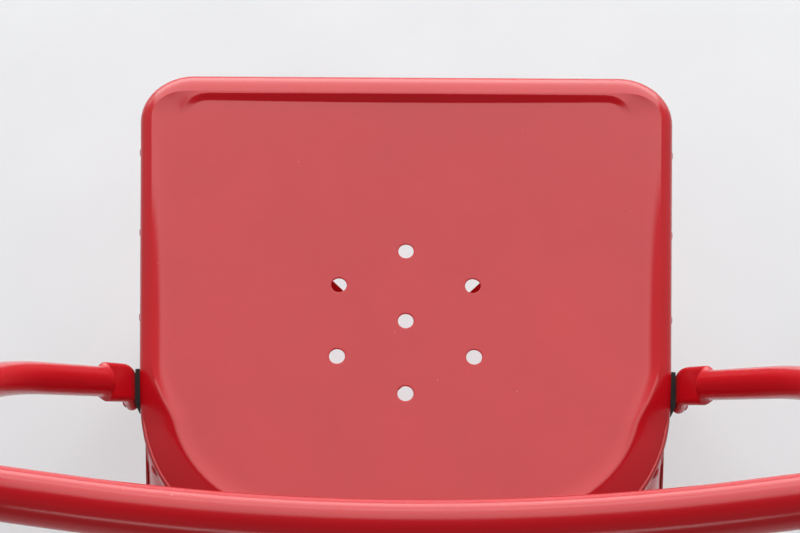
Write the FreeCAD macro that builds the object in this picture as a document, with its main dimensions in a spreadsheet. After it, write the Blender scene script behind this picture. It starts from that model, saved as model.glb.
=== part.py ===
import FreeCAD, Part
import math
import os

import Sketcher

# Stacking side chair of pressed sheet steel, in millimetres.
# Every sub-part is modelled about the middle drain hole, at the height of the seat's rim:
# X runs across the chair, Y to its back and Z up. One placement then stands them all on the floor,
# with the origin under the middle of the chair.

V = FreeCAD.Vector
UP = V(0, 0, 1)

HIP_LEVELS = 7  # outlines that shape the legs between the skirt and the hip
DOME_SHARE = 0.75  # a rivet's dome keeps this share of its height at the same share of its radius

# Driving dimensions: alias, value and meaning
SIZES = (
    ("seat_height", 445, "rim of the seat above the floor"),
    ("sheet_gauge", 1.2, "sheet of the seat, the legs and the slat"),
    ("fit_gap", 0.3, "clearance between nested sheets"),
    ("skirt_depth", 28, "height of the seat's turned-down skirt"),
    ("rim_radius", 8, "bend from the skirt into the rim"),
    ("front_corner_x", 147.5, "centre of the seat's front corner arc"),
    ("front_corner_y", 151.5, "the same, ahead of the middle drain hole"),
    ("front_corner_radius", 35, "front corner of the seat"),
    ("rear_corner_x", 65.5, "centre of the seat's rear corner arc"),
    ("rear_corner_y", 50.3, "the same, behind the middle drain hole"),
    ("rear_corner_radius", 100, "rear corner of the seat"),
    ("rear_edge_radius", 250, "bow of the seat's rear edge"),
    ("step_inset", 9, "flat rim between the edge and the step"),
    ("step_run", 7, "width of the sloping step"),
    ("dish_depth", 7, "depth of the dish under the rim"),
    ("dish_corner_x", 36.5, "centre of the dish's rear corner arc"),
    ("dish_corner_y", 24.8, "the same, behind the middle drain hole"),
    ("dish_corner_radius", 115, "rear corner of the dish"),
    ("dish_edge_radius", 190, "bow of the dish's rear edge"),
    ("step_lip_radius", 2, "bend from the rim into the step"),
    ("step_root_radius", 4, "bend from the step into the dish"),
    ("drain_bore", 10, "drain hole"),
    ("drain_circle", 50, "radius of the ring of drain holes"),
    ("drain_count", 6, "holes in the ring"),
    ("leg_top_drop", 9, "top of the legs under the rim"),
    ("hip_drop", 64, "widest bulge of the legs under the rim"),
    ("hip_front_x", 157, "front leg's corner arc centre at the hip"),
    ("hip_front_y", 158, "the same, ahead of the middle drain hole"),
    ("hip_front_radius", 34, "front leg's corner at the hip"),
    ("hip_rear_x", 78, "rear leg's corner arc centre at the hip"),
    ("hip_rear_y", 55, "the same, behind the middle drain hole"),
    ("hip_rear_radius", 91, "rear leg's corner at the hip"),
    ("hip_edge_radius", 300, "bow between the rear legs at the hip"),
    ("foot_front_x", 208, "front leg's corner arc centre at the floor"),
    ("foot_front_y", 197.5, "the same, ahead of the middle drain hole"),
    ("foot_rear_x", 191, "rear leg's corner arc centre at the floor"),
    ("foot_rear_y", 251.5, "the same, behind the middle drain hole"),
    ("foot_corner_radius", 14, "leg's corner at the floor"),
    ("foot_edge_radius", 9000, "bow between the rear legs at the floor"),
    ("foot_flange", 30, "width of each leg flange at the floor"),
    ("arch_drop", 30, "crown of the front and rear arches between the legs, under the rim"),
    ("side_arch_drop", 56, "crown of the side arches, under the rim"),
    ("front_arch_x", 135, "front arch's corner, from the middle"),
    ("front_arch_radius", 75, "flare of the front legs at the front"),
    ("rear_arch_x", 80, "rear arch's corner, from the middle"),
    ("rear_arch_radius", 50, "flare of the rear legs at the back"),
    ("side_arch_front_y", 128.5, "side arch's front corner, ahead of the middle drain hole"),
    ("side_arch_front_radius", 165, "flare of the front legs at the side"),
    ("side_arch_rear_y", 70.5, "side arch's rear corner, behind the middle drain hole"),
    ("side_arch_rear_radius", 50, "flare of the rear legs at the side"),
    ("leg_split", 1, "seam between the front and the rear leg over the side arch"),
    ("leg_end_height", 6, "end of the leg's sheet above the floor"),
    ("foot_width", 34, "rubber foot, along each flange"),
    ("foot_height", 15, "rubber foot"),
    ("foot_wall", 2, "rubber outside the leg"),
    ("foot_rounding", 7, "outer corners of the rubber foot"),
    ("tube_diameter", 18, "tube of the back hoop"),
    ("tube_wall", 1.5, "wall of the back hoop"),
    ("end_width", 24, "flattened end of the hoop"),
    ("end_thickness", 7.5, "the same, across"),
    ("end_drop", 27, "lower end of the hoop under the rim"),
    ("end_bend_drop", 3, "bend above the flattened end, under the rim"),
    ("end_bend_radius", 30, "bend above the flattened end"),
    ("end_flat_length", 36, "flattened length above that bend"),
    ("shoulder_length", 7, "from the flattened end to the round tube"),
    ("hoop_y", 45, "hoop's ends behind the middle drain hole"),
    ("knee_x", 211, "hoop's knee, from the middle"),
    ("knee_setback", 51, "hoop's knee behind its ends"),
    ("knee_height", 130, "hoop's knee above the rim"),
    ("knee_radius", 300, "bend at the knee"),
    ("hoop_half_width", 217, "hoop's upper corner, from the middle"),
    ("hoop_corner_radius", 92, "bend at the upper corners"),
    ("rail_height", 378, "axis of the top rail above the rim"),
    ("rail_y", 249.5, "axis of the top rail behind the middle drain hole"),
    ("rail_bow_radius", 820, "bow of the top rail, seen from above"),
    ("rail_bow_half", 110, "half length of the bowed stretch"),
    ("spacer_thickness", 3, "packing plate between the hoop and the skirt"),
    ("spacer_height", 18, "packing plate"),
    ("rivet_drop", 18, "rivets in the skirt under the rim"),
    ("rivet_shank", 5, "rivet shank"),
    ("rivet_head", 9, "rivet head"),
    ("rivet_head_height", 1.6, "rivet head"),
    ("rivet_tail", 7.5, "closed end of the rivet"),
    ("rivet_tail_height", 1.4, "closed end of the rivet"),
    ("hoop_rivet_pitch", 11, "between the two rivets in a hoop end"),
    ("front_rivet_x", 92, "inner rivet of a front leg, from the middle"),
    ("front_rivet_pitch", 40, "between the two rivets at the front"),
    ("side_rivet_y", 130, "foremost side rivet ahead of the middle drain hole"),
    ("side_rivet_pitch", 62, "between the side rivets of a front leg"),
    ("corner_rivet_angle", 28, "first rivet on the rear corner"),
    ("corner_rivet_step", 38, "turn to the next rivet on the rear corner"),
    ("brace_y", 3.7, "crossing of the brace straps, ahead of the middle drain hole"),
    ("strap_width", 16, "brace strap"),
    ("strap_depth", 6, "height of the strap's channel"),
    ("strap_gauge", 1.5, "sheet of the brace straps"),
    ("strap_drop", 84, "top of the upper strap under the rim"),
    ("strap_angle", 45, "direction of the straps to the chair's axis"),
    ("tab_height", 26, "turned-down tab at a strap's end"),
    ("tab_rivet_rise", 8, "tab rivet above the tab's lower end"),
    ("slat_width", 92, "back slat at the seat"),
    ("slat_top_width", 78, "back slat at the rail"),
    ("slat_drop", 25, "lower end of the slat under the rim"),
    ("slat_rise", 7, "top of the slat above the rail's axis"),
    ("slat_corner", 12, "rounded corners of the slat"),
    ("slat_rivet_x", 20, "slat rivets, from the middle"),
    ("rib_offset", 24, "slat's pressed ribs, from the middle"),
    ("rib_radius", 5, "pressed rib"),
    ("rib_height", 3, "pressed rib, proud of the slat"),
    ("rib_margin", 45, "plain slat above and below the ribs"),
)

doc = FreeCAD.newDocument("StackingChair")
sheet = doc.addObject("Spreadsheet::Sheet", "Sizes")
for row, (alias, value, meaning) in enumerate(SIZES, 1):
    sheet.set("A%d" % row, alias)
    sheet.set("B%d" % row, str(value))
    sheet.setAlias("B%d" % row, alias)
    sheet.set("C%d" % row, meaning)
doc.recompute()


def size(alias):
    return float(getattr(sheet, alias))


def bind(thing, prop, expression):
    thing.setExpression(prop, expression)


# Placement of the whole chair: the feet's middle lies over the origin
chair_placement = FreeCAD.Placement(
    V(0, (size("foot_front_y") - size("foot_rear_y")) / 2, size("seat_height")), FreeCAD.Rotation()
)
pieces = []


def keep(thing, label):
    thing.Label = label
    thing.Placement = chair_placement
    pieces.append(thing)
    return thing


# Outlines


class Outline:
    """Seat-shaped outline: two corner arcs on each side, a straight front and a bowed rear edge."""

    def __init__(self, front_x, front_y, front_r, rear_x, rear_y, rear_r, edge_r):
        self.front = V(front_x, -front_y, 0)
        self.front_r = front_r
        self.rear = V(rear_x, rear_y, 0)
        self.rear_r = rear_r
        self.edge_r = edge_r

    def inset(self, distance):
        moved = Outline(0, 0, self.front_r - distance, 0, 0, self.rear_r - distance, self.edge_r - distance)
        moved.front = self.front
        moved.rear = self.rear
        return moved

    def mixed(self, other, share):
        def mix(a, b):
            return a + (b - a) * share

        blend = Outline(0, 0, mix(self.front_r, other.front_r), 0, 0, mix(self.rear_r, other.rear_r), 0)
        blend.edge_r = 1 / mix(1 / self.edge_r, 1 / other.edge_r)
        blend.front = self.front + (other.front - self.front) * share
        blend.rear = self.rear + (other.rear - self.rear) * share
        return blend

    def side_normal(self):
        """Outward normal of the straight side that touches both corner arcs."""
        way = self.rear - self.front
        lean = (self.front_r - self.rear_r) / way.Length
        way.normalize()
        across = V(way.y, -way.x, 0)
        return way * lean + across * math.sqrt(1 - lean * lean)

    def side_point(self, y):
        start = self.front + self.side_normal() * self.front_r
        end = self.rear + self.side_normal() * self.rear_r
        return start + (end - start) * ((y - start.y) / (end.y - start.y))

    def corner_point(self, degrees):
        turn = math.radians(degrees)
        return self.rear + V(math.cos(turn), math.sin(turn), 0) * self.rear_r

    def edge_centre(self):
        reach = self.edge_r - self.rear_r
        return V(0, self.rear.y - math.sqrt(reach * reach - self.rear.x * self.rear.x), 0)

    def edges(self):
        """Right half from the front middle: line ends and arcs with their middle points."""
        normal = self.side_normal()
        centre = self.edge_centre()
        front_start = self.front + V(0, -self.front_r, 0)
        side_start = self.front + normal * self.front_r
        side_end = self.rear + normal * self.rear_r
        away = (self.rear - centre).normalize()
        edge_start = centre + away * self.edge_r
        front_mid = self.front + (V(0, -1, 0) + normal).normalize() * self.front_r
        rear_mid = self.rear + (normal + away).normalize() * self.rear_r
        return front_start, front_mid, side_start, side_end, rear_mid, edge_start

    def wire(self, z):
        right = [p + UP * z for p in self.edges()]
        left = [V(-p.x, p.y, p.z) for p in right]
        back = self.edge_centre() + V(0, self.edge_r, z)
        return Part.Wire([
            Part.makeLine(left[0], right[0]),
            Part.Arc(right[0], right[1], right[2]).toShape(),
            Part.makeLine(right[2], right[3]),
            Part.Arc(right[3], right[4], right[5]).toShape(),
            Part.Arc(right[5], back, left[5]).toShape(),
            Part.Arc(left[5], left[4], left[3]).toShape(),
            Part.makeLine(left[3], left[2]),
            Part.Arc(left[2], left[1], left[0]).toShape(),
        ])


seat_outline = Outline(
    size("front_corner_x"), size("front_corner_y"), size("front_corner_radius"),
    size("rear_corner_x"), size("rear_corner_y"), size("rear_corner_radius"), size("rear_edge_radius"),
)
hip_outline = Outline(
    size("hip_front_x"), size("hip_front_y"), size("hip_front_radius"),
    size("hip_rear_x"), size("hip_rear_y"), size("hip_rear_radius"), size("hip_edge_radius"),
)
foot_outline = Outline(
    size("foot_front_x"), size("foot_front_y"), size("foot_corner_radius"),
    size("foot_rear_x"), size("foot_rear_y"), size("foot_corner_radius"), size("foot_edge_radius"),
)
legs_inset = size("sheet_gauge") + size("fit_gap")


# Rivets: each has its place on a surface, its outward axis and its grip

rivet_groups = {}


def plan_rivet(group, point, axis, grip):
    rivet_groups.setdefault(group, []).append((point, axis, grip))


def plan_pair(group, point, axis, grip):
    """The same rivet on the chair's right and left."""
    plan_rivet(group % "right", point, axis, grip)
    plan_rivet(group % "left", V(-point.x, point.y, point.z), V(-axis.x, axis.y, axis.z), grip)


def rivet_shape(point, axis, grip):
    shank = size("rivet_shank") / 2
    head = size("rivet_head") / 2
    tail = size("rivet_tail") / 2
    crown = size("rivet_head_height")
    end = -grip - size("rivet_tail_height")
    shoulder = V(head * DOME_SHARE, 0, crown * DOME_SHARE)
    profile = Part.Wire([
        Part.Arc(V(0, 0, crown), shoulder, V(head, 0, 0)).toShape(),
        Part.makePolygon([V(head, 0, 0), V(shank, 0, 0), V(shank, 0, -grip), V(tail, 0, -grip)]),
        Part.makePolygon([V(tail, 0, -grip), V(tail, 0, end), V(0, 0, end), V(0, 0, crown)]),
    ])
    shape = Part.Face(profile).revolve(V(0, 0, 0), UP, 360)
    shape.Placement = FreeCAD.Placement(point, FreeCAD.Rotation(UP, axis))
    return shape


def drill(points, reach):
    """Holes for the planned rivets, from outside each head to past its tail."""
    radius = size("rivet_shank") / 2 + size("fit_gap") / 2
    tools = []
    for point, axis, grip in points:
        tools.append(Part.makeCylinder(radius, grip + 2 * reach, point + axis * reach, axis * -1))
    return Part.makeCompound(tools)


skirt_grip = 2 * size("sheet_gauge") + 2 * size("fit_gap")
rivet_level = UP * -size("rivet_drop")
head_gap = size("fit_gap") / 2
front_y = -size("front_corner_y") - size("front_corner_radius")
for count in range(2):
    spot = V(size("front_rivet_x") + count * size("front_rivet_pitch"), front_y - head_gap, 0)
    plan_pair("rivets_front_leg_%s", spot + rivet_level, V(0, -1, 0), skirt_grip)
for count in range(3):
    spot = seat_outline.side_point(-size("side_rivet_y") + count * size("side_rivet_pitch"))
    normal = seat_outline.side_normal()
    plan_pair("rivets_front_leg_%s", spot + normal * head_gap + rivet_level, normal, skirt_grip)
for count in range(2):
    angle = size("corner_rivet_angle") + count * size("corner_rivet_step")
    spot = seat_outline.corner_point(angle)
    normal = (spot - seat_outline.rear).normalize()
    plan_pair("rivets_rear_leg_%s", spot + normal * head_gap + rivet_level, normal, skirt_grip)

hoop_normal = seat_outline.side_normal()
hoop_along = V(-hoop_normal.y, hoop_normal.x, 0)
hoop_base = seat_outline.side_point(size("hoop_y"))
hoop_outer = size("spacer_thickness") + size("end_thickness")
for side in (-0.5, 0.5):
    spot = hoop_base + hoop_along * (side * size("hoop_rivet_pitch")) + hoop_normal * hoop_outer
    plan_pair("rivets_hoop_%s", spot + rivet_level, hoop_normal, hoop_outer + skirt_grip)

# Seat pan


def plane(body, role):
    return [f for f in body.Origin.OriginFeatures if f.Role == role][0]


def outline_sketch(body, name, outline, depth, expressions):
    """Closed outline, held by tangencies, the arcs' centres and radii bound to the sheet."""
    sketch = body.newObject("Sketcher::SketchObject", name)
    sketch.AttachmentSupport = [(plane(body, "XY_Plane"), "")]
    sketch.MapMode = "FlatFace"
    if depth:
        bind(sketch, "AttachmentOffset.Base.z", depth)
    edges = outline.wire(0).Edges
    for edge in edges:
        if isinstance(edge.Curve, Part.Line):
            ends = [v.Point for v in edge.Vertexes]
            sketch.addGeometry(Part.LineSegment(ends[0], ends[1]), False)
            continue
        first, last = edge.ParameterRange
        middle = edge.valueAt((first + last) / 2)
        sketch.addGeometry(Part.Arc(edge.valueAt(first), middle, edge.valueAt(last)), False)

    def end(index, point):
        """Number of the sketch's own start or end that lies at the given point."""
        return 1 if sketch.getPoint(index, 1).distanceToPoint(point) < 1e-4 else 2

    corners = [outline_corner(edges[i], edges[(i + 1) % 8]) for i in range(8)]
    for i in range(8):
        j = (i + 1) % 8
        sketch.addConstraint(Sketcher.Constraint("Tangent", i, end(i, corners[i]), j, end(j, corners[i])))
    sketch.addConstraint(Sketcher.Constraint("Symmetric", 0, 1, 0, 2, -2))
    sketch.addConstraint(Sketcher.Constraint("PointOnObject", 4, 3, -2))
    sketch.addConstraint(Sketcher.Constraint("Equal", 1, 7))
    sketch.addConstraint(Sketcher.Constraint("Equal", 3, 5))
    sketch.addConstraint(Sketcher.Constraint("Horizontal", 2, end(2, corners[2]), 6, end(6, corners[5])))
    sizes = (
        ("DistanceX", (-1, 1, 1, 3), outline.front.x, expressions[0]),
        ("DistanceY", (1, 3, -1, 1), -outline.front.y, expressions[1]),
        ("Radius", (1,), outline.front_r, expressions[2]),
        ("DistanceX", (-1, 1, 3, 3), outline.rear.x, expressions[3]),
        ("DistanceY", (-1, 1, 3, 3), outline.rear.y, expressions[4]),
        ("Radius", (3,), outline.rear_r, expressions[5]),
        ("Radius", (4,), outline.edge_r, expressions[6]),
    )
    for kind, where, value, expression in sizes:
        index = sketch.addConstraint(Sketcher.Constraint(kind, *where, value))
        bind(sketch, "Constraints[%d]" % index, expression)
    return sketch


def outline_corner(first, second):
    for a in first.Vertexes:
        for b in second.Vertexes:
            if a.Point.distanceToPoint(b.Point) < 1e-6:
                return a.Point
    raise ValueError("an outline is open")


def level_edges(shape, z, outline):
    """Names of the edges that lie on an outline at one height."""
    wire = outline.wire(z)
    names = []
    for number, edge in enumerate(shape.Edges, 1):
        box = edge.BoundBox
        middle = Part.Vertex(edge.valueAt(sum(edge.ParameterRange) / 2))
        if abs(box.ZMin - z) < 1e-3 and abs(box.ZMax - z) < 1e-3 and wire.distToShape(middle)[0] < 1e-2:
            names.append("Edge%d" % number)
    return names


step_outline = seat_outline.inset(size("step_inset"))
dish_front_radius = size("front_corner_radius") - size("step_inset") - size("step_run")
dish_outline = Outline(
    size("front_corner_x"), size("front_corner_y"), dish_front_radius,
    size("dish_corner_x"), size("dish_corner_y"), size("dish_corner_radius"), size("dish_edge_radius"),
)


def make_seat():
    body = doc.addObject("PartDesign::Body", "SeatBody")
    seat_terms = (
        "Sizes.front_corner_x", "Sizes.front_corner_y", "Sizes.front_corner_radius",
        "Sizes.rear_corner_x", "Sizes.rear_corner_y", "Sizes.rear_corner_radius", "Sizes.rear_edge_radius",
    )
    blank = outline_sketch(body, "BlankOutline", seat_outline, "", seat_terms)
    pad = body.newObject("PartDesign::Pad", "Blank")
    pad.Profile = blank
    pad.Reversed = True
    bind(pad, "Length", "Sizes.skirt_depth")
    doc.recompute()

    rim = body.newObject("PartDesign::Fillet", "RimBend")
    rim.Base = (pad, level_edges(pad.Shape, 0, seat_outline))
    bind(rim, "Radius", "Sizes.rim_radius")
    doc.recompute()

    step_terms = list(seat_terms)
    for index in (2, 5, 6):
        step_terms[index] += " - Sizes.step_inset"
    step = outline_sketch(body, "StepOutline", step_outline, "", step_terms)
    dish_terms = (
        "Sizes.front_corner_x", "Sizes.front_corner_y",
        "Sizes.front_corner_radius - Sizes.step_inset - Sizes.step_run",
        "Sizes.dish_corner_x", "Sizes.dish_corner_y", "Sizes.dish_corner_radius", "Sizes.dish_edge_radius",
    )
    dish = outline_sketch(body, "DishOutline", dish_outline, "-Sizes.dish_depth", dish_terms)
    press = body.newObject("PartDesign::SubtractiveLoft", "Dish")
    press.Profile = step
    press.Sections = [dish]
    press.Ruled = True
    doc.recompute()

    lip = body.newObject("PartDesign::Fillet", "StepLip")
    lip.Base = (press, level_edges(press.Shape, 0, step_outline))
    bind(lip, "Radius", "Sizes.step_lip_radius")
    doc.recompute()

    root = body.newObject("PartDesign::Fillet", "StepRoot")
    root.Base = (lip, level_edges(lip.Shape, -size("dish_depth"), dish_outline))
    bind(root, "Radius", "Sizes.step_root_radius")
    doc.recompute()

    shell = body.newObject("PartDesign::Thickness", "SheetGauge")
    under = -size("skirt_depth")
    open_faces = [
        "Face%d" % n for n, face in enumerate(root.Shape.Faces, 1)
        if abs(face.BoundBox.ZMin - under) < 1e-3 and abs(face.BoundBox.ZMax - under) < 1e-3
    ]
    shell.Base = (root, open_faces)
    shell.Reversed = True
    bind(shell, "Value", "Sizes.sheet_gauge")
    doc.recompute()

    ring = body.newObject("Sketcher::SketchObject", "RingHole")
    ring.AttachmentSupport = [(plane(body, "XY_Plane"), "")]
    ring.MapMode = "FlatFace"
    ring.addGeometry(Part.Circle(V(0, size("drain_circle"), 0), UP, size("drain_bore") / 2), False)
    ring.addConstraint(Sketcher.Constraint("PointOnObject", 0, 3, -2))
    place = ring.addConstraint(Sketcher.Constraint("DistanceY", -1, 1, 0, 3, size("drain_circle")))
    bind(ring, "Constraints[%d]" % place, "Sizes.drain_circle")
    bore = ring.addConstraint(Sketcher.Constraint("Diameter", 0, size("drain_bore")))
    bind(ring, "Constraints[%d]" % bore, "Sizes.drain_bore")
    drain = body.newObject("PartDesign::Pocket", "RingDrain")
    drain.Profile = ring
    drain.Type = "ThroughAll"
    drain.Midplane = True
    doc.recompute()

    turn = body.newObject("PartDesign::PolarPattern", "RingPattern")
    turn.Originals = [drain]
    turn.Axis = (plane(body, "Z_Axis"), [""])
    turn.Angle = 360
    bind(turn, "Occurrences", "Sizes.drain_count")
    body.Tip = turn
    doc.recompute()

    middle = body.newObject("Sketcher::SketchObject", "MiddleHole")
    middle.AttachmentSupport = [(plane(body, "XY_Plane"), "")]
    middle.MapMode = "FlatFace"
    middle.addGeometry(Part.Circle(V(0, 0, 0), UP, size("drain_bore") / 2), False)
    middle.addConstraint(Sketcher.Constraint("Coincident", 0, 3, -1, 1))
    bore = middle.addConstraint(Sketcher.Constraint("Diameter", 0, size("drain_bore")))
    bind(middle, "Constraints[%d]" % bore, "Sizes.drain_bore")
    centre = body.newObject("PartDesign::Pocket", "MiddleDrain")
    centre.Profile = middle
    centre.Type = "ThroughAll"
    centre.Midplane = True
    body.Tip = centre
    doc.recompute()
    return body


seat_body = make_seat()

# Legs


def leg_outline(z):
    """Outside of the four legs together, at one height."""
    tucked = seat_outline.inset(legs_inset)
    bend_start = -size("skirt_depth")
    hip = -size("hip_drop")
    floor = -size("seat_height")
    if z >= bend_start:
        return tucked
    straight = hip_outline.mixed(foot_outline, (hip - z) / (hip - floor))
    share = min(1, (bend_start - z) / (bend_start - hip))
    return tucked.mixed(straight, share * share * (3 - 2 * share))


def leg_core(inset, top):
    """Solid inside the legs' outer faces, moved inward by a distance."""
    hip = -size("hip_drop")
    bend_start = -size("skirt_depth")
    floor = -size("seat_height")
    parts = []
    for levels, ruled in (
        ((top, bend_start), True),
        ([bend_start + (hip - bend_start) * n / (HIP_LEVELS - 1) for n in range(HIP_LEVELS)], False),
        ((hip, floor), True),
    ):
        parts.append(Part.makeLoft([leg_outline(z).inset(inset).wire(z) for z in levels], True, ruled))
    return parts[0].fuse(parts[1:])


def fillet_corner(before, corner, after, radius):
    """Arc in the corner of a path, with its two tangent points."""
    back = (before - corner).normalize()
    ahead = (after - corner).normalize()
    half = back.getAngle(ahead) / 2
    middle = (back + ahead).normalize()
    start = corner + back * (radius / math.tan(half))
    end = corner + ahead * (radius / math.tan(half))
    top = corner + middle * (radius / math.sin(half) - radius)
    return start, Part.Arc(start, top, end).toShape(), end


def arch_prism(points, first_radius, second_radius, way):
    """Opening under an arch: four points, the two upper corners rounded, pushed along a way."""
    a, b, c, d = points
    first_start, first_arc, first_end = fillet_corner(a, b, c, first_radius)
    second_start, second_arc, second_end = fillet_corner(b, c, d, second_radius)
    profile = Part.Wire([
        Part.makeLine(a, first_start), first_arc, Part.makeLine(first_end, second_start),
        second_arc, Part.makeLine(second_end, d), Part.makeLine(d, a),
    ])
    return Part.Face(profile).extrude(way)


def mirrored(shape):
    return shape.mirror(V(0, 0, 0), V(1, 0, 0))


floor_z = -size("seat_height")
leg_end_z = floor_z + size("leg_end_height")
arch_z = -size("arch_drop")
side_arch_z = -size("side_arch_drop")
split_z = arch_z - size("sheet_gauge")
reach = size("seat_height")
foot_half_front = size("foot_front_x") + size("foot_corner_radius")
foot_half_rear = size("foot_rear_x") + size("foot_corner_radius")
foot_front = -size("foot_front_y") - size("foot_corner_radius")
foot_rear = size("foot_rear_y") + size("foot_corner_radius")
leg_top = -size("leg_top_drop")


def arch_tools():
    """Front, rear and side openings between the legs, and the splits above them."""
    tools = []
    arches = (
        (foot_half_front, size("front_arch_x"), size("front_arch_radius"), -reach),
        (foot_half_rear, size("rear_arch_x"), size("rear_arch_radius"), reach),
    )
    for foot_half, crown_half, radius, way in arches:
        low = foot_half - size("foot_flange")
        points = [
            V(-low, 0, floor_z), V(-crown_half, 0, arch_z), V(crown_half, 0, arch_z), V(low, 0, floor_z),
        ]
        tools.append(arch_prism(points, radius, radius, V(0, way, 0)))
        corner = crown_end(points[3], points[2], radius)
        tools.append(Part.makeBox(2 * corner, reach, reach, V(-corner, min(way, 0), split_z)))
    front_low = foot_front + size("foot_flange")
    rear_low = foot_rear - size("foot_flange")
    points = [
        V(0, front_low, floor_z), V(0, -size("side_arch_front_y"), side_arch_z),
        V(0, size("side_arch_rear_y"), side_arch_z), V(0, rear_low, floor_z),
    ]
    front_radius = size("side_arch_front_radius")
    tools.append(arch_prism(points, front_radius, size("side_arch_rear_radius"), V(reach, 0, 0)))
    seam_z = side_arch_z - size("sheet_gauge")
    tools.append(Part.makeBox(reach, size("leg_split"), reach, V(0, split_y(), seam_z)))
    return tools


def crown_end(foot, corner, radius):
    """Distance from the middle at which a flare meets the arch's crown."""
    half = (foot - corner).getAngle(V(-1, 0, 0)) / 2
    return corner.x - radius / math.tan(half)


def split_y():
    """Where the front leg's side flare meets the arch's crown."""
    foot = V(0, foot_front + size("foot_flange"), floor_z)
    corner = V(0, -size("side_arch_front_y"), side_arch_z)
    half = (foot - corner).getAngle(V(0, 1, 0)) / 2
    return corner.y + size("side_arch_front_radius") / math.tan(half)


def make_legs():
    """Right front and right rear leg."""
    tools = arch_tools()
    tools.append(Part.makeBox(2 * reach, 2 * reach, size("leg_end_height"), V(-reach, -reach, floor_z)))
    legs = leg_outer.cut(leg_inner)
    for tool in tools:
        legs = legs.cut(tool)
    right = [solid for solid in legs.Solids if solid.CenterOfMass.x > 0]
    right.sort(key=lambda solid: solid.CenterOfMass.y)
    return right[0], right[-1]


leg_outer = leg_core(0, leg_top)
leg_inner = leg_core(size("sheet_gauge"), leg_top)
front_leg, rear_leg = make_legs()

# Bound primitives


def bound_box(name, lengths, base, turn=FreeCAD.Rotation()):
    """Box whose three lengths follow the sheet."""
    box = doc.addObject("Part::Box", name)
    for prop, expression in zip(("Length", "Width", "Height"), lengths):
        bind(box, prop, expression)
    box.Placement = FreeCAD.Placement(base, turn)
    return box


def shape_feature(name, shape):
    feature = doc.addObject("Part::Feature", name)
    feature.Shape = shape
    return feature


def cut_away(name, base, tool):
    cut = doc.addObject("Part::Cut", name)
    cut.Base = base
    cut.Tool = tool
    return cut


def shared(name, first, second):
    common = doc.addObject("Part::Common", name)
    common.Base = first
    common.Tool = second
    return common


# Rubber feet: a block around the leg's end, with a slot for its sheet

foot_slot = shape_feature("FootSlot", leg_core(-size("fit_gap"), leg_top).cut(
    leg_core(legs_inset, leg_top)
).common(Part.makeBox(
    2 * reach, 2 * reach, size("foot_height"), V(-reach, -reach, leg_end_z - size("fit_gap"))
)))


def rubber_foot(name, corner, side, toward):
    """Foot of one leg: side is 1 on the right, toward is 1 at the back."""
    width = size("foot_width")
    edge = size("foot_corner_radius") + size("foot_wall")
    x = side * (corner.x + edge)
    y = corner.y + toward * edge
    base = V(min(x, x - side * width), min(y, y - toward * width), floor_z)
    block = bound_box(name + "Block", ("Sizes.foot_width", "Sizes.foot_width", "Sizes.foot_height"), base)
    doc.recompute()
    fillet = doc.addObject("Part::Fillet", name + "Rounded")
    fillet.Base = block
    upright = [n for n, e in enumerate(block.Shape.Edges, 1) if abs(e.tangentAt(e.FirstParameter).z) > 0.9]
    fillet.Edges = [(n, size("foot_rounding"), size("foot_rounding")) for n in upright]
    return keep(cut_away(name, fillet, foot_slot), name)


# Back hoop


def section(centre, along, across, half_along, half_across):
    """Closed section of four edges: two ends of a flattened tube and its two flats, or a round tube."""
    if half_along > half_across:
        flat = half_along - half_across
        bulge = half_across
        quarter = [along * flat + across * half_across, along * flat - across * half_across]
        tips = [along * half_along, along * -half_along]
        sides = None
    else:
        flat = half_along * math.sqrt(0.5)
        bulge = half_along
        quarter = [along * flat + across * flat, along * flat - across * flat]
        tips = [along * bulge, along * -bulge]
        sides = [across * -bulge, across * bulge]
    a, b = [centre + q for q in quarter]
    c, d = [centre - q for q in quarter]
    edges = [Part.Arc(a, centre + tips[0], b).toShape()]
    edges.append(Part.Arc(b, centre + sides[0], c).toShape() if sides else Part.makeLine(b, c))
    edges.append(Part.Arc(c, centre + tips[1], d).toShape())
    edges.append(Part.Arc(d, centre + sides[1], a).toShape() if sides else Part.makeLine(d, a))
    return Part.Wire(edges)


def hoop_points():
    """Corners of the hoop's centre line on the right, from the seat to the top rail."""
    base = hoop_base + hoop_normal * (size("spacer_thickness") + size("end_thickness") / 2)
    foot = base - UP * size("end_drop")
    bend = base - UP * size("end_bend_drop")
    knee = V(size("knee_x"), size("hoop_y") + size("knee_setback"), size("knee_height"))
    bow = size("rail_bow_radius")
    half = size("rail_bow_half")
    lean = math.asin(half / bow)
    bow_end = V(half, size("rail_y") - bow * (1 - math.cos(lean)), size("rail_height"))
    past = size("hoop_half_width") - half
    corner = bow_end + V(past, -past * math.tan(lean), 0)
    return foot, bend, knee, corner, bow_end


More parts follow.
